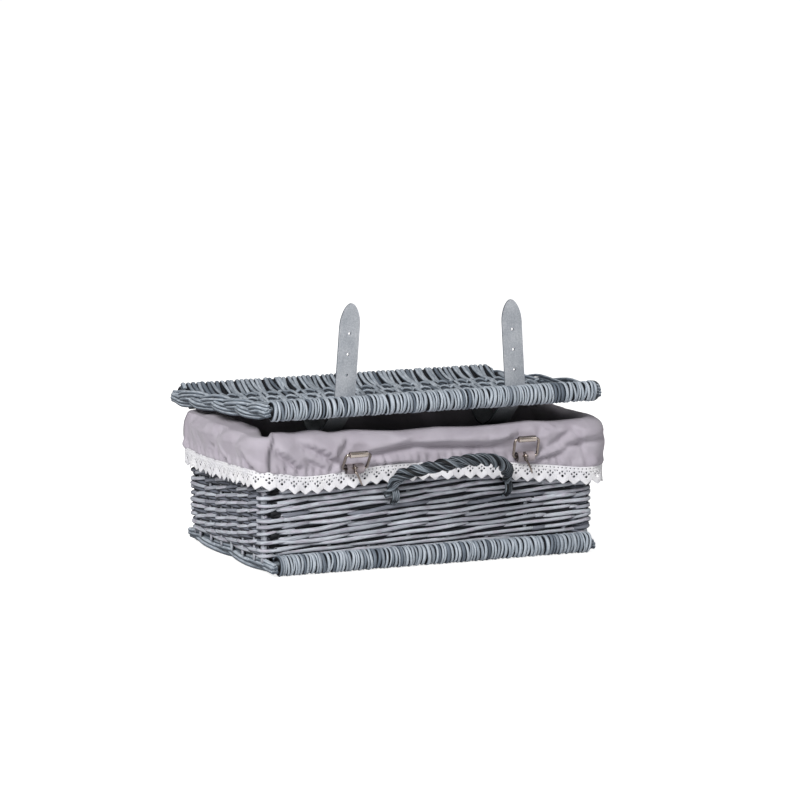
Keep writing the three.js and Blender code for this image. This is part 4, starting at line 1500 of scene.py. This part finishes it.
    def folds(self, along: Array, height: Array) -> Array:
        """Add up the folds, the gathers over the hem and a little slack.

        Args:
            along: Distances round the outline, rows by columns.
            height: Heights, rows by columns.

        Returns:
            How far each point stands out of the skirt.
        """
        rng = np.random.default_rng(self.seed)
        total = np.zeros_like(height)
        across = along + self.front_start
        for fold in self.front_folds:
            total += fold(across, height)
        aside = self.left_start - (along - self.outline.marks[6])
        for fold in self.left_folds:
            total += fold(aside, height) * smooth_step(160, 150, height)
        ends = self.outline.marks
        unseen = window((ends[1] + 5, ends[1] + 40), (ends[6] + 20, ends[6] - 20), along)
        slant = 0.6 * (height - 125.0)
        total += unseen * Wobble(rng, 2.4, (38, 61, 97))(along + slant)
        rise = height - self.read(self.hem_knots, along, self.hem_reach)
        puckered = smooth_step(-0.5, 0.6, Wobble(rng, 1.0, (90, 150, 230))(along))
        gather = Wobble(rng, 4.2, (8.3, 10.4, 13.1, 17.0))(along + 0.2 * rise)
        near = np.exp(-(((rise - self.gather_height) / self.gather_reach) ** 2))
        total += (0.5 + 0.5 * puckered) * gather * near
        return total + Wobble(rng, 0.8, (27, 45, 80))(along - 0.8 * slant)

    def band(self) -> Array:
        """Hang the part of the cloth from the top of the rim to the hem.

        Returns:
            The points, rows by columns by 3.
        """
        hem = self.read(self.hem_knots, self.along, self.hem_reach)
        top = self.read(self.top_knots, self.along, self.top_reach)
        middle = (self.skirt + self.bag_offset) / 2 * (1 - self.left) + self.left_crest * self.left
        span = self.skirt - middle
        rows: list[Array] = []
        for angle in np.linspace(math.pi / 2, 0, self.rim_rows)[:-1]:
            flat = self.spot + (middle + span * math.cos(angle)) * self.normal
            height = self.shoulder + (top - self.shoulder) * math.sin(angle)
            rows.append(raised(flat, height))
        for share in np.linspace(0, 1, self.skirt_rows):
            height = self.shoulder + (hem - self.shoulder) * share
            rows.append(raised(self.spot + self.skirt * self.normal, height))
        grid = np.stack(rows)
        part = np.clip((np.arange(len(rows)) - 1) / 6, 0, 1)[:, None]
        part = part * np.clip((len(rows) - 1 - np.arange(len(rows))) / 3, 0, 1)[:, None]
        places = np.broadcast_to(self.along, grid.shape[:2])
        grid[..., :2] += (part * (2.0 + self.folds(places, grid[..., 2])))[..., None] * self.normal
        across = np.linalg.norm(np.roll(grid, -1, axis=1) - grid, axis=2) * (1 + self.slack * part)
        down = np.linalg.norm(np.diff(grid, axis=0), axis=2) * (1 + self.slack)
        cloth = ClothRelaxer(grid, across, down, self.outline, self.clear)
        hung = cloth.settle(self.rounds, self.sink)
        return self.kept_clear(hung)

    def kept_clear(self, grid: Array) -> Array:
        """Hold the cloth back where the buckles and the open lid swing.

        Args:
            grid: Points of the cloth, rows by columns by 3.

        Returns:
            The points, rows by columns by 3.
        """
        marks = self.outline.marks
        behind = window(marks[3:5], marks[6:4:-1], self.along)
        most = np.broadcast_to(self.furthest - self.back_in * behind, grid.shape[:2])
        for side in Side:
            bar = pivot(f"buckle_swing_{side}")
            aside = (grid[..., 0] - bar[0]) / self.buckle_room
            above = (grid[..., 2] - bar[2] - self.buckle_room / 2) / self.buckle_room
            held = self.furthest - self.buckle_in * np.exp(-(aside**4) - above**4)
            most = np.where(grid[..., 1] < 0, np.minimum(most, held), most)
        out = np.sum((grid[..., :2] - self.spot) * self.normal, axis=2)
        grid[..., :2] -= np.maximum(out - most, 0.0)[..., None] * self.normal
        inward = smooth_step(self.plait_edge, self.plait_edge - 4.5, np.abs(grid[..., 0]))
        highest = self.under_plait + (self.under_lid - self.under_plait) * inward
        grid[..., 2] = np.minimum(grid[..., 2], highest)
        return grid

    def seam(self, grid: Array) -> Array:
        """Mark the sewn seams at the corners.

        Args:
            grid: Points of the cloth, rows by columns by 3.

        Returns:
            1 on a seam and 0 off it, rows by columns.
        """
        total = self.outline.length
        marked = np.zeros(grid.shape[:2])
        for number in range(4):
            place = self.outline.marks[2 * number + 1] + self.outline.turn * 0.8
            bend = 0.9 * np.sin(grid[..., 2] / 6.5 + number) + 0.1 * (grid[..., 2] - 130)
            gap = np.mod(self.along - place - bend + total / 2, total) - total / 2
            marked = np.maximum(marked, np.exp(-((gap / 1.3) ** 2)))
        return marked * smooth_step(0.35, 0.6, np.arange(len(grid)) / len(grid))[:, None]

    def dress(self) -> Piece:
        """Build the cloth.

        Returns:
            The cloth.
        """
        self.measure()
        hung = self.band()
        inside = self.spot + self.bag * self.normal
        centre = self.outline.centre
        rows: list[Array] = []
        for scale in (0.03, 0.3, 0.6, 0.85, 0.97):
            flat = centre + (inside - centre) * scale
            rows.append(raised(flat, self.floor))
        for height in np.linspace(self.floor + 3, self.shoulder, self.bag_rows):
            rows.append(raised(inside, height))
        for angle in np.linspace(0, math.pi / 2, self.rim_rows - 1)[1:-1]:
            flat = inside + (hung[0, :, :2] - inside) * (1 - math.cos(angle))
            height = self.shoulder + (hung[0, :, 2] - self.shoulder) * math.sin(angle)
            rows.append(raised(flat, height))
        self.hem_line = hung[-1]
        grid = np.concatenate([np.stack(rows), hung])
        count = len(grid)
        index = np.arange(count * self.columns).reshape(count, self.columns)
        quads = ring_quads(index[:-1], index[1:])
        steps = np.linalg.norm(np.diff(grid, axis=0), axis=2)
        down = np.concatenate([np.zeros((1, self.columns)), np.cumsum(steps, axis=0)])
        # Painted shade inside the bag, full on the floor and lower walls and fading out towards the rim.
        deep = np.repeat(smooth_step(len(rows) - 4, len(rows) - 9, np.arange(count)), self.columns)
        values = {"across": np.tile(self.along, count), "down": down.reshape(-1), "deep": deep}
        values["seam"] = self.seam(grid).reshape(-1)
        made = mesh_object("lining_cloth", grid.reshape(-1, 3), quads.tolist(), self.palette.cotton, values)
        thicken(made, self.thickness)
        return settle(made, "basket", "cotton", "lining")


@dataclass
class Lace(Assembly):
    """Crocheted edging with open eyelets and a toothed lower edge."""

    lining: Lining
    pitch: float = 14.0
    height: float = 20.0
    tooth: float = 4.9
    overlap: float = 2.5
    thickness: float = 0.7

    def unit_cell(self) -> tuple[Array, Array]:
        """Cut one tooth with its eyelets.

        Returns:
            The points, n by 2, and the triangles, m by 3.
        """
        p, h = self.pitch, self.height
        valley = h - self.tooth
        side = [0.0, valley * 0.33, valley * 0.66, valley]
        edge = [(0.17, 0.36), (0.34, 0.74), (0.45, 0.97), (0.5, 1.0)]
        edge += [(0.55, 0.97), (0.66, 0.74), (0.83, 0.36)]
        low = [(share * p, valley + self.tooth * drop) for share, drop in edge]
        high = [(share * p, 0.0) for share in (0.8, 0.6, 0.4, 0.2)]
        outline = [(0.0, w) for w in side] + low + [(p, w) for w in side[::-1]] + high
        small = [(0.17, 2.3), (0.5, 2.3), (0.83, 2.3), (0.1, 5.6), (0.9, 5.6)]
        middling = [(0.5, 6.6), (0.29, 8.6), (0.71, 8.6)]
        holes = [circle((share * p, w), 0.75, 8) for share, w in small]
        holes += [circle((share * p, w), 1.1, 8) for share, w in middling]
        holes.append(circle((0.5 * p, 11.3), 1.5, 10))
        spread = np.array([(a, b) for a in np.linspace(0.9, p - 0.9, 9) for b in np.linspace(1, h - 1, 11)])
        return flat_cut(np.array(outline), holes, spread)

    def dress(self) -> Piece:
        """Build the edging along the hem.

        Returns:
            The edging.
        """
        cell, triangles = self.unit_cell()
        self.hem = np.concatenate([self.lining.hem_line, self.lining.hem_line[:1]])
        self.knots = arc_lengths(self.hem)
        total = float(self.knots[-1])
        count = int(round(total / self.pitch))
        step = total / count
        right = np.flatnonzero(np.abs(cell[:, 0] - self.pitch) < 1e-4)
        left = np.flatnonzero(np.abs(cell[:, 0]) < 1e-4)
        partner = np.arange(len(cell))
        for number in right:
            partner[number] = left[np.argmin(np.abs(cell[left, 1] - cell[number, 1]))]
        shifted = np.zeros(len(cell), int)
        shifted[right] = 1
        repeat = np.arange(count)[:, None]
        along = (cell[None, :, 0] / self.pitch + repeat) * step
        drop = np.broadcast_to(cell[None, :, 1], along.shape)
        numbers = partner[None, :] + len(cell) * np.mod(repeat + shifted[None, :], count)
        faces = numbers[:, triangles].reshape(-1, 3)
        points = self.hang(along.reshape(-1), drop.reshape(-1))
        used = np.unique(faces)
        fresh = np.zeros(len(points), int)
        fresh[used] = np.arange(len(used))
        values = {"across": along.reshape(-1)[used], "down": drop.reshape(-1)[used]}
        faces = fresh[faces][:, ::-1].tolist()
        made = mesh_object("lace_trim", points[used], faces, self.palette.lace, values)
        thicken(made, self.thickness)
        return settle(made, "basket", "lace", "lace_edging")

    def hang(self, along: Array, drop: Array) -> Array:
        """Hang flat lace from the hem.

        Args:
            along: Distances round the outline.
            drop: Distances below the top of the lace.

        Returns:
            The points, n by 3.
        """
        place = np.mod(along, self.knots[-1])
        spots = read_path(self.hem, self.knots, place)
        outline = self.lining.outline
        round_by = np.interp(place, self.knots, np.append(self.lining.along, outline.length))
        _, normal = outline(round_by)
        rng = np.random.default_rng(91)
        wave = Wobble(rng, 1.6, (23, 37, 61))(place) * smooth_step(2, self.height, drop)
        out = 2.0 + wave + 0.4 * smooth_step(0, self.height, drop)
        spots[:, :2] += out[:, None] * normal
        spots[:, 2] += self.overlap - drop
        return spots


def pivot(name: str) -> Array:
    """Find the place of a joint."""
    joint = next(entry for entry in frame["joints"] if entry["name"] == name)
    return np.array(joint["pos_m"]) / METRES


@dataclass
class LeatherStrip:
    """A strip of leather cut flat and bent along a path."""

    name: str
    path: Array
    width: float
    thickness: float
    tip: float = 0.0
    holes: tuple[Span, ...] = ()
    slot: tuple[float, float, float] | None = None
    lean: float = 0.0
    lean_from: float = 0.0
    shade_reach: float = 0.0

    def outline(self) -> Array:
        """Lay out the flat edge of the strip.

        Returns:
            The corners, n by 2, across and along.
        """
        half = self.width / 2
        end = self.length - self.tip
        side = [(half, v) for v in np.linspace(0, end, max(3, int(end / 3)))]
        if self.tip > 0:
            turn = np.linspace(0, math.pi, 17)[1:-1]
            wide = [half * math.cos(angle) * abs(math.cos(angle)) ** 0.12 for angle in turn]
            tip = [(u, end + self.tip * math.sin(angle) ** 1.1) for u, angle in zip(wide, turn)]
        else:
            tip = [(u, self.length) for u in np.linspace(half, -half, 7)[1:-1]]
        return np.array(side + tip + [(-u, v) for u, v in side[::-1]])

    def build(self, material: Material) -> Piece:
        """Cut and bend the strip.

        Args:
            material: Its leather.

        Returns:
            The object.
        """
        marks = arc_lengths(self.path)
        self.length = float(marks[-1])
        half = self.width / 2
        places = np.arange(1.5, self.length, 2.4)
        spread = [(u, v) for u in np.linspace(-half, half, 8)[1:-1] for v in places]
        holes = [circle((0.0, place), radius, 14) for place, radius in self.holes]
        if self.slot is not None:
            first, last, wide = self.slot
            out = wide / 2
            holes.append(np.array([(-out, first), (out, first), (out, last), (-out, last)]))
        flat, triangles = flat_cut(self.outline(), holes, np.array(spread))
        middle = read_path(self.path, marks, flat[:, 1])
        slope = unit(np.gradient(self.path, marks, axis=0))
        tangent = unit(read_path(slope, marks, flat[:, 1]))
        normal = np.cross(np.array([1.0, 0.0, 0.0]), tangent)
        middle[:, 0] += flat[:, 0] + self.lean * np.clip(flat[:, 1] - self.lean_from, 0, None)
        edge = np.clip((np.abs(flat[:, 0]) - half + 1.0) / 1.0, 0, 1)
        lift = normal * (self.thickness / 2 * (1 - 0.22 * edge))[:, None]
        sheets = np.concatenate([middle + lift, middle - lift])
        count = len(flat)
        edges = np.concatenate([triangles[:, [0, 1]], triangles[:, [1, 2]], triangles[:, [2, 0]]]).tolist()
        known = {tuple(edge) for edge in edges}
        rims = np.array([edge for edge in edges if (edge[1], edge[0]) not in known])
        numbers, places = np.unique(rims, return_inverse=True)
        places = places.reshape(rims.shape)
        walls = np.concatenate([sheets[numbers], sheets[numbers + count]])
        start, wall = 2 * count, len(numbers)
        sides = np.stack(
            [places[:, 1], places[:, 0], places[:, 0] + wall, places[:, 1] + wall], axis=1
        ) + start
        faces = triangles.tolist() + (triangles[:, ::-1] + count).tolist() + sides.tolist()
        rim = np.concatenate([np.zeros(2 * count), np.ones(2 * wall)])
        # Painted shade on the part of the strap inside the lid, darker towards its hidden end.
        shade = np.zeros(count)
        if self.shade_reach > 0:
            first = self.lean_from - 20.0
            shade = 0.6 * smooth_step(first, first - self.shade_reach, flat[:, 1])
        values = {"rim": rim, "shade": np.concatenate([shade, shade, shade[numbers], shade[numbers]])}
        return mesh_object(self.name, np.concatenate([sheets, walls]), faces, material, values)


@dataclass
class Strap(Assembly):
    """A leather strap that hangs slack under the lid and stands up through its slit."""

    side: Side
    free_length: float
    lean: float
    width: float = 24.0
    thickness: float = 2.4
    tip: float = 25.0
    hole_radius: float = 1.55
    holes: tuple[float, ...] = (33.0, 55.5, 78.0)
    bend: float = 7.0
    shade_reach: float = 55.0
    slack: tuple[Span, ...] = (
        (99, -14.2), (97, -22), (90, -33), (78, -42), (62, -45), (46, -40), (30, -30), (14, -19),
        (3.5, -11), (0.3, -6), (0, -3), (0, 0),
    )

    def dress(self) -> None:
        """Build the strap."""
        name = self.side
        turn = pivot(f"strap_bend_{name}")
        run = sum(cad_box("lid_back_roll")) - sum(cad_box("lid_front_roll"))
        back = unit(run * [0.0, 1.0, 1.0])
        up = np.array([0.0, -back[2], back[1]])
        rough = np.array([turn + a * back + b * up for a, b in (*self.slack, (0, self.free_length))])
        path = soften(resample(rough, 2.0), 6)
        total = float(arc_lengths(path)[-1])
        holes = tuple((total - place, self.hole_radius) for place in self.holes)
        strip = LeatherStrip(
            f"strap_{name}", path, self.width, self.thickness, self.tip, holes,
            lean=self.lean, lean_from=total - self.free_length, shade_reach=self.shade_reach,
        )
        made = strip.build(self.palette.leather)
        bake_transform(made)
        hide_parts(f"strap_slack_{name}", f"strap_tail_{name}")


@dataclass
class Buckle(Assembly):
    """A wire buckle with a roller and a prong on a leather tab."""

    side: Side
    wire: float = 1.6
    roller_sides: int = 28
    round_off: float = 3.4
    tab_width: float = 20.0
    leather: float = 2.4
    slit: float = 3.2
    curl: float = 3.4

    def dress(self) -> None:
        """Build the buckle and its tab."""
        self.bar = pivot(f"buckle_swing_{self.side}")
        self.frame()
        self.roller()
        self.prong()
        self.tab()

    def frame(self) -> None:
        """Build the wire frame that swings on the bar."""
        node = f"buckle_frame_{self.side}"
        low, high = cad_box(node)
        run = pivot(f"roller_spin_{self.side}") - self.bar
        reach = float(np.linalg.norm(run))
        tilt = run / reach
        inner = (high[0] - low[0]) / 2 - self.wire
        corners = [(inner, 0.0, -90), (inner, reach, 0), (-inner, reach, 90), (-inner, 0.0, 180)]
        spots: list[Array] = []
        for across, up, first in corners:
            middle_x = across - math.copysign(self.round_off, across)
            middle_z = up + (self.round_off if up <= 0 else -self.round_off)
            for angle in np.radians(np.linspace(first, first + 90, 7)):
                out = middle_x + self.round_off * math.cos(angle)
                rise = middle_z + self.round_off * math.sin(angle)
                spots.append(self.bar + np.array([out, 0, 0]) + rise * tilt)
        ring = np.array(spots + spots[:1])
        wire = RodBundle(f"buckle_wire_{self.side}", 5)
        wire.add(resample(ring, 1.5)[:-1], self.wire, np.cross([1.0, 0, 0], tilt), 10, True)
        settle(wire.build(self.palette.wire_metal), node, "plated_metal", node)

    def roller(self) -> None:
        """Spin the profile of the roller round its line."""
        node = f"buckle_roller_{self.side}"
        low, high = cad_box(node)
        half = (high[0] - low[0]) / 2
        outer = (high[2] - low[2]) / 2
        inner = self.wire + 0.6
        profile = [
            (inner, -half), (outer - 0.7, -half), (outer - 0.2, -half + 0.3), (outer, -half + 0.9),
            (outer, half - 0.9), (outer - 0.2, half - 0.3), (outer - 0.7, half), (inner, half),
        ]
        angle = np.arange(self.roller_sides) * TURN / self.roller_sides
        rings = [arc(radius, angle) + [place, 0.0, 0.0] for radius, place in profile]
        points = np.concatenate(rings) + pivot(f"roller_spin_{self.side}")
        index = np.arange(len(points)).reshape(len(profile), -1)
        quads = ring_quads(index, np.roll(index, -1, axis=0)).tolist()
        made = mesh_object(f"buckle_roll_{self.side}", points, quads, self.palette.roller_metal)
        made.data.set_sharp_from_angle(angle=math.radians(40))
        settle(made, node, "plated_metal", node)

    def prong(self) -> None:
        """Build the prong that hangs from the bar."""
        node = f"buckle_prong_{self.side}"
        low, _ = cad_box(node)
        wire = RodBundle(f"buckle_pin_{self.side}", 6)
        curl = arc(self.curl, np.linspace(-math.pi / 2, math.pi * 1.42, 26))
        stem = np.array([[8.5, -0.8, self.bar[2] - low[2] - 7.0], [4.6, -3.4, 11.0], [0.6, -3.4, 4.0]])
        hook = np.concatenate([stem * [1, 1, -1], curl]) + self.bar
        path = soften(resample(hook, 1.2), 2)
        share = np.linspace(0, 1, len(path))
        wire.add(path, 0.9 + 0.4 * smooth_step(0, 0.5, share), (1, 0, 0), 10)
        settle(wire.build(self.palette.wire_metal), node, "plated_metal", node)

    def tab(self) -> None:
        """Build the leather tab."""
        node = f"buckle_tab_{self.side}"
        _, high = cad_box(node)
        middle = high[2] - self.leather / 2
        loop = high[2] - self.bar[2] - self.leather / 2 + 0.9
        curl = arc(loop, np.linspace(math.pi / 2, math.pi * 2.28, 30)) + self.bar
        tail = np.array([[self.bar[0], high[1], middle], [self.bar[0], self.bar[1] + 1, middle]])
        path = resample(np.concatenate([tail, curl]), 1.0)
        run = high[1] - self.bar[1]
        slot = (run - 1.0, run + loop * 2.6, self.slit)
        name = f"buckle_leather_{self.side}"
        strip = LeatherStrip(name, path, self.tab_width, self.leather, slot=slot)
        settle(strip.build(self.palette.tab), "basket", "leather", node)


@dataclass
class HingeLoop(Assembly):
    """A leather loop that holds the hinge stick to the back wall."""

    side: Side
    leather: float = 2.4

    def dress(self) -> None:
        """Build the loop."""
        node = f"hinge_loop_{self.side}"
        low, high = cad_box(node)
        axis = pivot("lid_hinge")
        axis[0] = (low[0] + high[0]) / 2
        loop = high[2] - axis[2] - self.leather / 2
        turn = np.linspace(math.pi, -math.pi * 0.72, 40)
        curl = arc(loop, turn) + axis
        foot = low[2] + self.leather / 2
        rise = [(low[1], foot), (axis[1] - loop - 2.5, foot), (axis[1] - loop, foot + 2.5)]
        start = np.array([[axis[0], y, z] for y, z in rise])
        path = soften(resample(np.concatenate([start, curl]), 1.2), 2)
        strip = LeatherStrip(f"{node}_leather", path, high[0] - low[0], self.leather)
        settle(strip.build(self.palette.leather), "basket", "leather", node)


@dataclass
class Handle(Assembly):
    """A carrying handle twisted from thin dark willow, lashed to the front wall."""

    seed: int = 120
    lay: float = 46.0
    strands: int = 3
    rods_each: int = 7
    rod_radius: float = 1.25
    strand_out: float = 4.0
    rod_out: float = 2.35
    knots: tuple[tuple[float, float, float], ...] = (
        (-74, 0, 0), (-68, 0, 0), (-66.5, -2, 8), (-66, -7, 18), (-60, -15, 25), (-48, -25, 29.5),
        (-26, -38, 35.5), (0, -47, 40.5), (22, -46, 41), (40, -39, 37), (56, -28, 30), (66, -16, 22),
        (69.5, -6, 12), (71, -1, 3), (77, 0, 0),
    )

    def route(self) -> tuple[Array, Array, Array]:
        """Lay out the middle line.

        Returns:
            Its points and two directions across it, n by 3 each.
        """
        low, high = cad_box("handle")
        axis = pivot("handle_swing")
        centre = np.array([(low[0] + high[0]) / 2, axis[1], axis[2]])
        rough = np.array([centre + np.array(knot) for knot in self.knots])
        path = resample(soften(resample(rough, 4.0), 5), 2.2)
        tangent = unit(np.gradient(path, axis=0))
        normal = unit(np.cross(tangent, np.array([0.0, -0.62, 0.78])))
        side = unit(np.cross(tangent, normal))
        return path, side, normal

    def dress(self) -> None:
        """Build the handle and its lashings."""
        path, side, normal = self.route()
        rods = RodBundle("handle_twisted_rods", self.seed)
        along = arc_lengths(path)
        middle = np.abs(along / along[-1] - 0.5) * 2
        size = 1.0 - 0.5 * smooth_step(0.72, 0.98, middle)
        for strand in range(self.strands):
            turn = strand * TURN / self.strands - TURN * along / self.lay
            hub = path + (size * self.strand_out * np.cos(turn))[:, None] * side
            hub = hub + (size * self.strand_out * np.sin(turn))[:, None] * normal
            for member in range(self.rods_each):
                twist = turn * 1.35 + member * TURN / self.rods_each + rods.rng.uniform(-0.2, 0.2)
                bulge = size * (self.rod_out + Wobble(rods.rng, 0.25, (40, 75))(along))
                spot = hub + (bulge * np.cos(twist))[:, None] * side
                spot = spot + (bulge * np.sin(twist))[:, None] * normal
                tone = two_tones(rods.rng, 0.3, (0.05, 0.2), (0.3, 1.0))
                radius = self.rod_radius * rods.rng.uniform(0.85, 1.15)
                rods.add(spot, radius, unit(spot - path), 7, tone=tone)
        settle(rods.build(self.palette.dark_willow), "handle", "dark_willow", "handle")
        for place in Side:
            self.lashing(place)

    def lashing(self, place: Side) -> None:
        """Build the rods that lash one end to the wall.

        Args:
            place: Which end.
        """
        node = f"handle_lashing_{place}"
        low, high = cad_box(node)
        axis = pivot("handle_swing")
        rods = RodBundle(f"{node}_rods", self.seed + (1 if place is Side.LEFT else 2))
        turn = np.linspace(math.pi / 2, math.pi * 1.5, 18)
        radius = 0.75 * ((high[2] - low[2]) / 2 - 1.25)
        inset = 10.0 if place is Side.LEFT else -2.0
        for across in np.linspace(low[0] + 1.3, high[0] - 1.3, 4) + inset:
            bow = arc(radius, turn) + np.array([across, axis[1], axis[2]])
            head = np.array([[across, high[1] + 2, bow[0, 2] + 0.4]])
            fall = rods.rng.uniform(1, 4)
            wall = axis[1] + 1.0
            near, far = across + rods.rng.uniform(-1, 1), across + rods.rng.uniform(-3, 3)
            foot = np.array([[near, wall, bow[-1, 2] - 1.5], [far, wall, bow[-1, 2] - fall]])
            path = soften(resample(np.concatenate([head, bow, foot]), 1.8), 2)
            rods.add(path, 1.25 * rods.rng.uniform(0.9, 1.15), (0, -1, 0.2), 7)
        settle(rods.build(self.palette.dark_willow), "basket", "dark_willow", node)


@dataclass(frozen=True)
class Studio:
    """Camera, floor and soft light."""

    azimuth: float = 23.476
    elevation: float = 8.621
    distance: float = 5396.8
    target: tuple[float, float, float] = (9.848, -0.088, 166.0)
    lens: float = 218.135
    ambient: float = 0.24
    glow: float = 0.84
    key: float = 130.0
    fill: float = 9.0
    front: float = 9.0

    def build(self) -> None:
        """Set up the whole studio."""
        self.camera()
        self.floor()
        self.sky()
        self.lamp("key_light", (-2.2, -2.1, 2.5), 1.5, self.key)
        self.lamp("fill_light", (2.6, -1.8, 1.6), 1.8, self.fill)
        self.lamp("front_light", (-1.3, -3.4, 0.45), 0.8, self.front)
        bpy.context.scene.view_settings.view_transform = "Standard"

    def camera(self) -> None:
        """Place the camera at the angle of the photograph."""
        turn, rise = math.radians(self.azimuth), math.radians(self.elevation)
        back = Vector((-math.sin(turn) * math.cos(rise), -math.cos(turn) * math.cos(rise), math.sin(rise)))
        right = Vector((math.cos(turn), -math.sin(turn), 0.0))
        up = back.cross(right)
        lens = bpy.data.cameras.new("camera")
        lens.lens = self.lens
        lens.sensor_width = 36.0
        lens.clip_end = 100.0
        made = bpy.data.objects.new("camera", lens)
        bpy.context.scene.collection.objects.link(made)
        rotation = Matrix((right, up, back)).transposed().to_4x4()
        place = (Vector(self.target) + back * self.distance) * METRES
        made.matrix_world = Matrix.Translation(place) @ rotation
        bpy.context.scene.camera = made

    def floor(self) -> None:
        """Lay a plain pale floor."""
        made, graph, surface = new_material("pale_floor")
        seen = graph.node("ShaderNodeLightPath").outputs["Is Camera Ray"]
        graph.fill(surface, {"Base Color": (0.8, 0.8, 0.805), "Roughness": 0.9})
        graph.fill(surface, {"Emission Color": WHITE, "Emission Strength": graph.times(seen, self.glow)})
        reach = 30000.0
        corners = np.array([(-reach, -reach, 0), (reach, -reach, 0), (reach, reach, 0), (-reach, reach, 0)])
        plane = mesh_object("floor", corners, [(0, 1, 2, 3)], made)

    def sky(self) -> None:
        """Light the scene evenly from all round."""
        world = bpy.data.worlds.new("studio")
        world.use_nodes = True
        graph = Graph(world.node_tree)
        seen = graph.node("ShaderNodeLightPath").outputs["Is Camera Ray"]
        strength = graph.sum("ADD", graph.times(seen, 1.0 - self.ambient), self.ambient)
        graph.fill(world.node_tree.nodes["Background"], {"Color": WHITE, "Strength": strength})
        bpy.context.scene.world = world

    @staticmethod
    def lamp(name: str, place: tuple[float, float, float], size: float, power: float) -> None:
        """Hang one large soft lamp aimed at the suitcase.

        Args:
            name: Name of the lamp.
            place: Where it hangs, in metres.
            size: Width of its face, in metres.
            power: Its power, in watts.
        """
        light = bpy.data.lights.new(name, "AREA")
        light.energy = power
        light.size = size
        made = bpy.data.objects.new(name, light)
        made.location = place
        aim = Vector((0.0, 0.0, 0.1)) - Vector(place)
        made.rotation_euler = aim.to_track_quat("-Z", "Y").to_euler()
        bpy.context.scene.collection.objects.link(made)


def make_palette() -> Palette:
    """Mix all finishes.

    Returns:
        The materials.
    """
    rod_colour_group()
    weave_group()
    grain_group()
    finishes = (
        WillowFinish(
            "washed_willow",
            linear(192, 200, 209), linear(158, 169, 180), linear(102, 112, 124), linear(16, 19, 25),
        ),
        WillowFinish(
            "wall_willow",
            linear(197, 202, 210), linear(189, 182, 195), linear(108, 112, 124), linear(16, 18, 24),
        ),
        WillowFinish(
            "dark_willow",
            linear(142, 151, 160), linear(72, 81, 90), linear(38, 45, 52), linear(9, 12, 16), 0.5,
        ),
        ClothFinish("mauve_cotton", linear(180, 174, 183), linear(170, 163, 173), 0.7, 0.12),
        ClothFinish("white_lace", linear(238, 237, 239), linear(226, 225, 230), 1.1, 0.6),
        LeatherFinish("grey_leather", linear(145, 150, 157), linear(184, 187, 192), linear(92, 98, 106)),
        LeatherFinish("mauve_leather", linear(148, 138, 142), linear(163, 153, 157), linear(56, 50, 52)),
        MetalFinish("pale_plate", linear(224, 211, 201), linear(150, 140, 134), 0.2),
        MetalFinish("wire_plate", linear(172, 160, 152), linear(74, 68, 66), 0.26),
    )
    return Palette(*(finish.material() for finish in finishes))


@dataclass
class Suitcase(Assembly):
    """The whole suitcase."""

    base_rows: tuple[float, ...] = (0.14, 0.38, 0.62, 0.86)
    lid_rows: tuple[float, ...] = (0.2725, 0.5, 0.7275)

    def build(self) -> None:
        """Build every sub-assembly."""
        self.base()
        self.lid()
        BasketWalls(self.palette).dress()
        lining = Lining(self.palette)
        cloth = lining.dress()
        trim = Lace(self.palette, lining).dress()
        Strap(self.palette, Side.LEFT, free_length=103.0, lean=0.11).dress()
        Strap(self.palette, Side.RIGHT, free_length=97.5, lean=-0.022).dress()
        for side in Side:
            Buckle(self.palette, side).dress()
            HingeLoop(self.palette, side).dress()
        Handle(self.palette).dress()

    def base(self) -> None:
        """Build the base."""
        for number, end in enumerate(End):
            WrappedRoll(self.palette, f"base_{end}", "basket", 10 + number).dress()
        axis = sum(cad_box("base_front_roll"))[2] / 2
        lift = float(sum(cad_box("base_weave"))[2] / 2 - axis)
        sizes = {"lift": lift, "rod_pitch": 5.6, "rise": 2.2}
        WovenPanel(self.palette, "base", "basket", 20, self.base_rows, **sizes).dress()
        for number, side in enumerate(Side):
            sink = float(sum(cad_box(f"base_{side}_plait"))[2] / 2 - axis)
            sizes = {"pitch": 300.0, "tall": 3.8, "lift": sink}
            Plait(self.palette, "base", side, "basket", 24 + number, **sizes).dress()

    def lid(self) -> None:
        """Build the lid."""
        for number, end in enumerate(End):
            loop = end is End.FRONT
            WrappedRoll(self.palette, f"lid_{end}", "lid", 30 + number, end_loop=loop).dress()
        WovenPanel(self.palette, "lid", "lid", 34, self.lid_rows, lean=9.5, over_back=True).dress()
        sizes = {"pitch": 210.0, "tall": 4.6, "rods_each": 3, "rod_radius": 2.1}
        for number, side in enumerate(Side):
            Plait(self.palette, "lid", side, "lid", 36 + number, **sizes).dress()
        ends, radius = long_axis("hinge_stick")
        rods = RodBundle("hinge_stick_rod", 39)
        rods.add(resample(ends, 8), radius, (0, 0, 1), 14, tone=0.6, least=0.74)
        settle(rods.build(self.palette.dark_willow), "lid", "dark_willow", "hinge_stick")


def main() -> None:
    """Build the scene."""
    logging.basicConfig(level=logging.INFO)
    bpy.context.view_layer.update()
    nodes = set(bpy.data.objects)
    Suitcase(make_palette()).build()
    for piece in bpy.data.objects:
        if piece not in nodes:
            LOG.info("%s: %d faces", piece.name, len(piece.data.polygons))
    Studio().build()


if __name__ == "__main__":
    main()
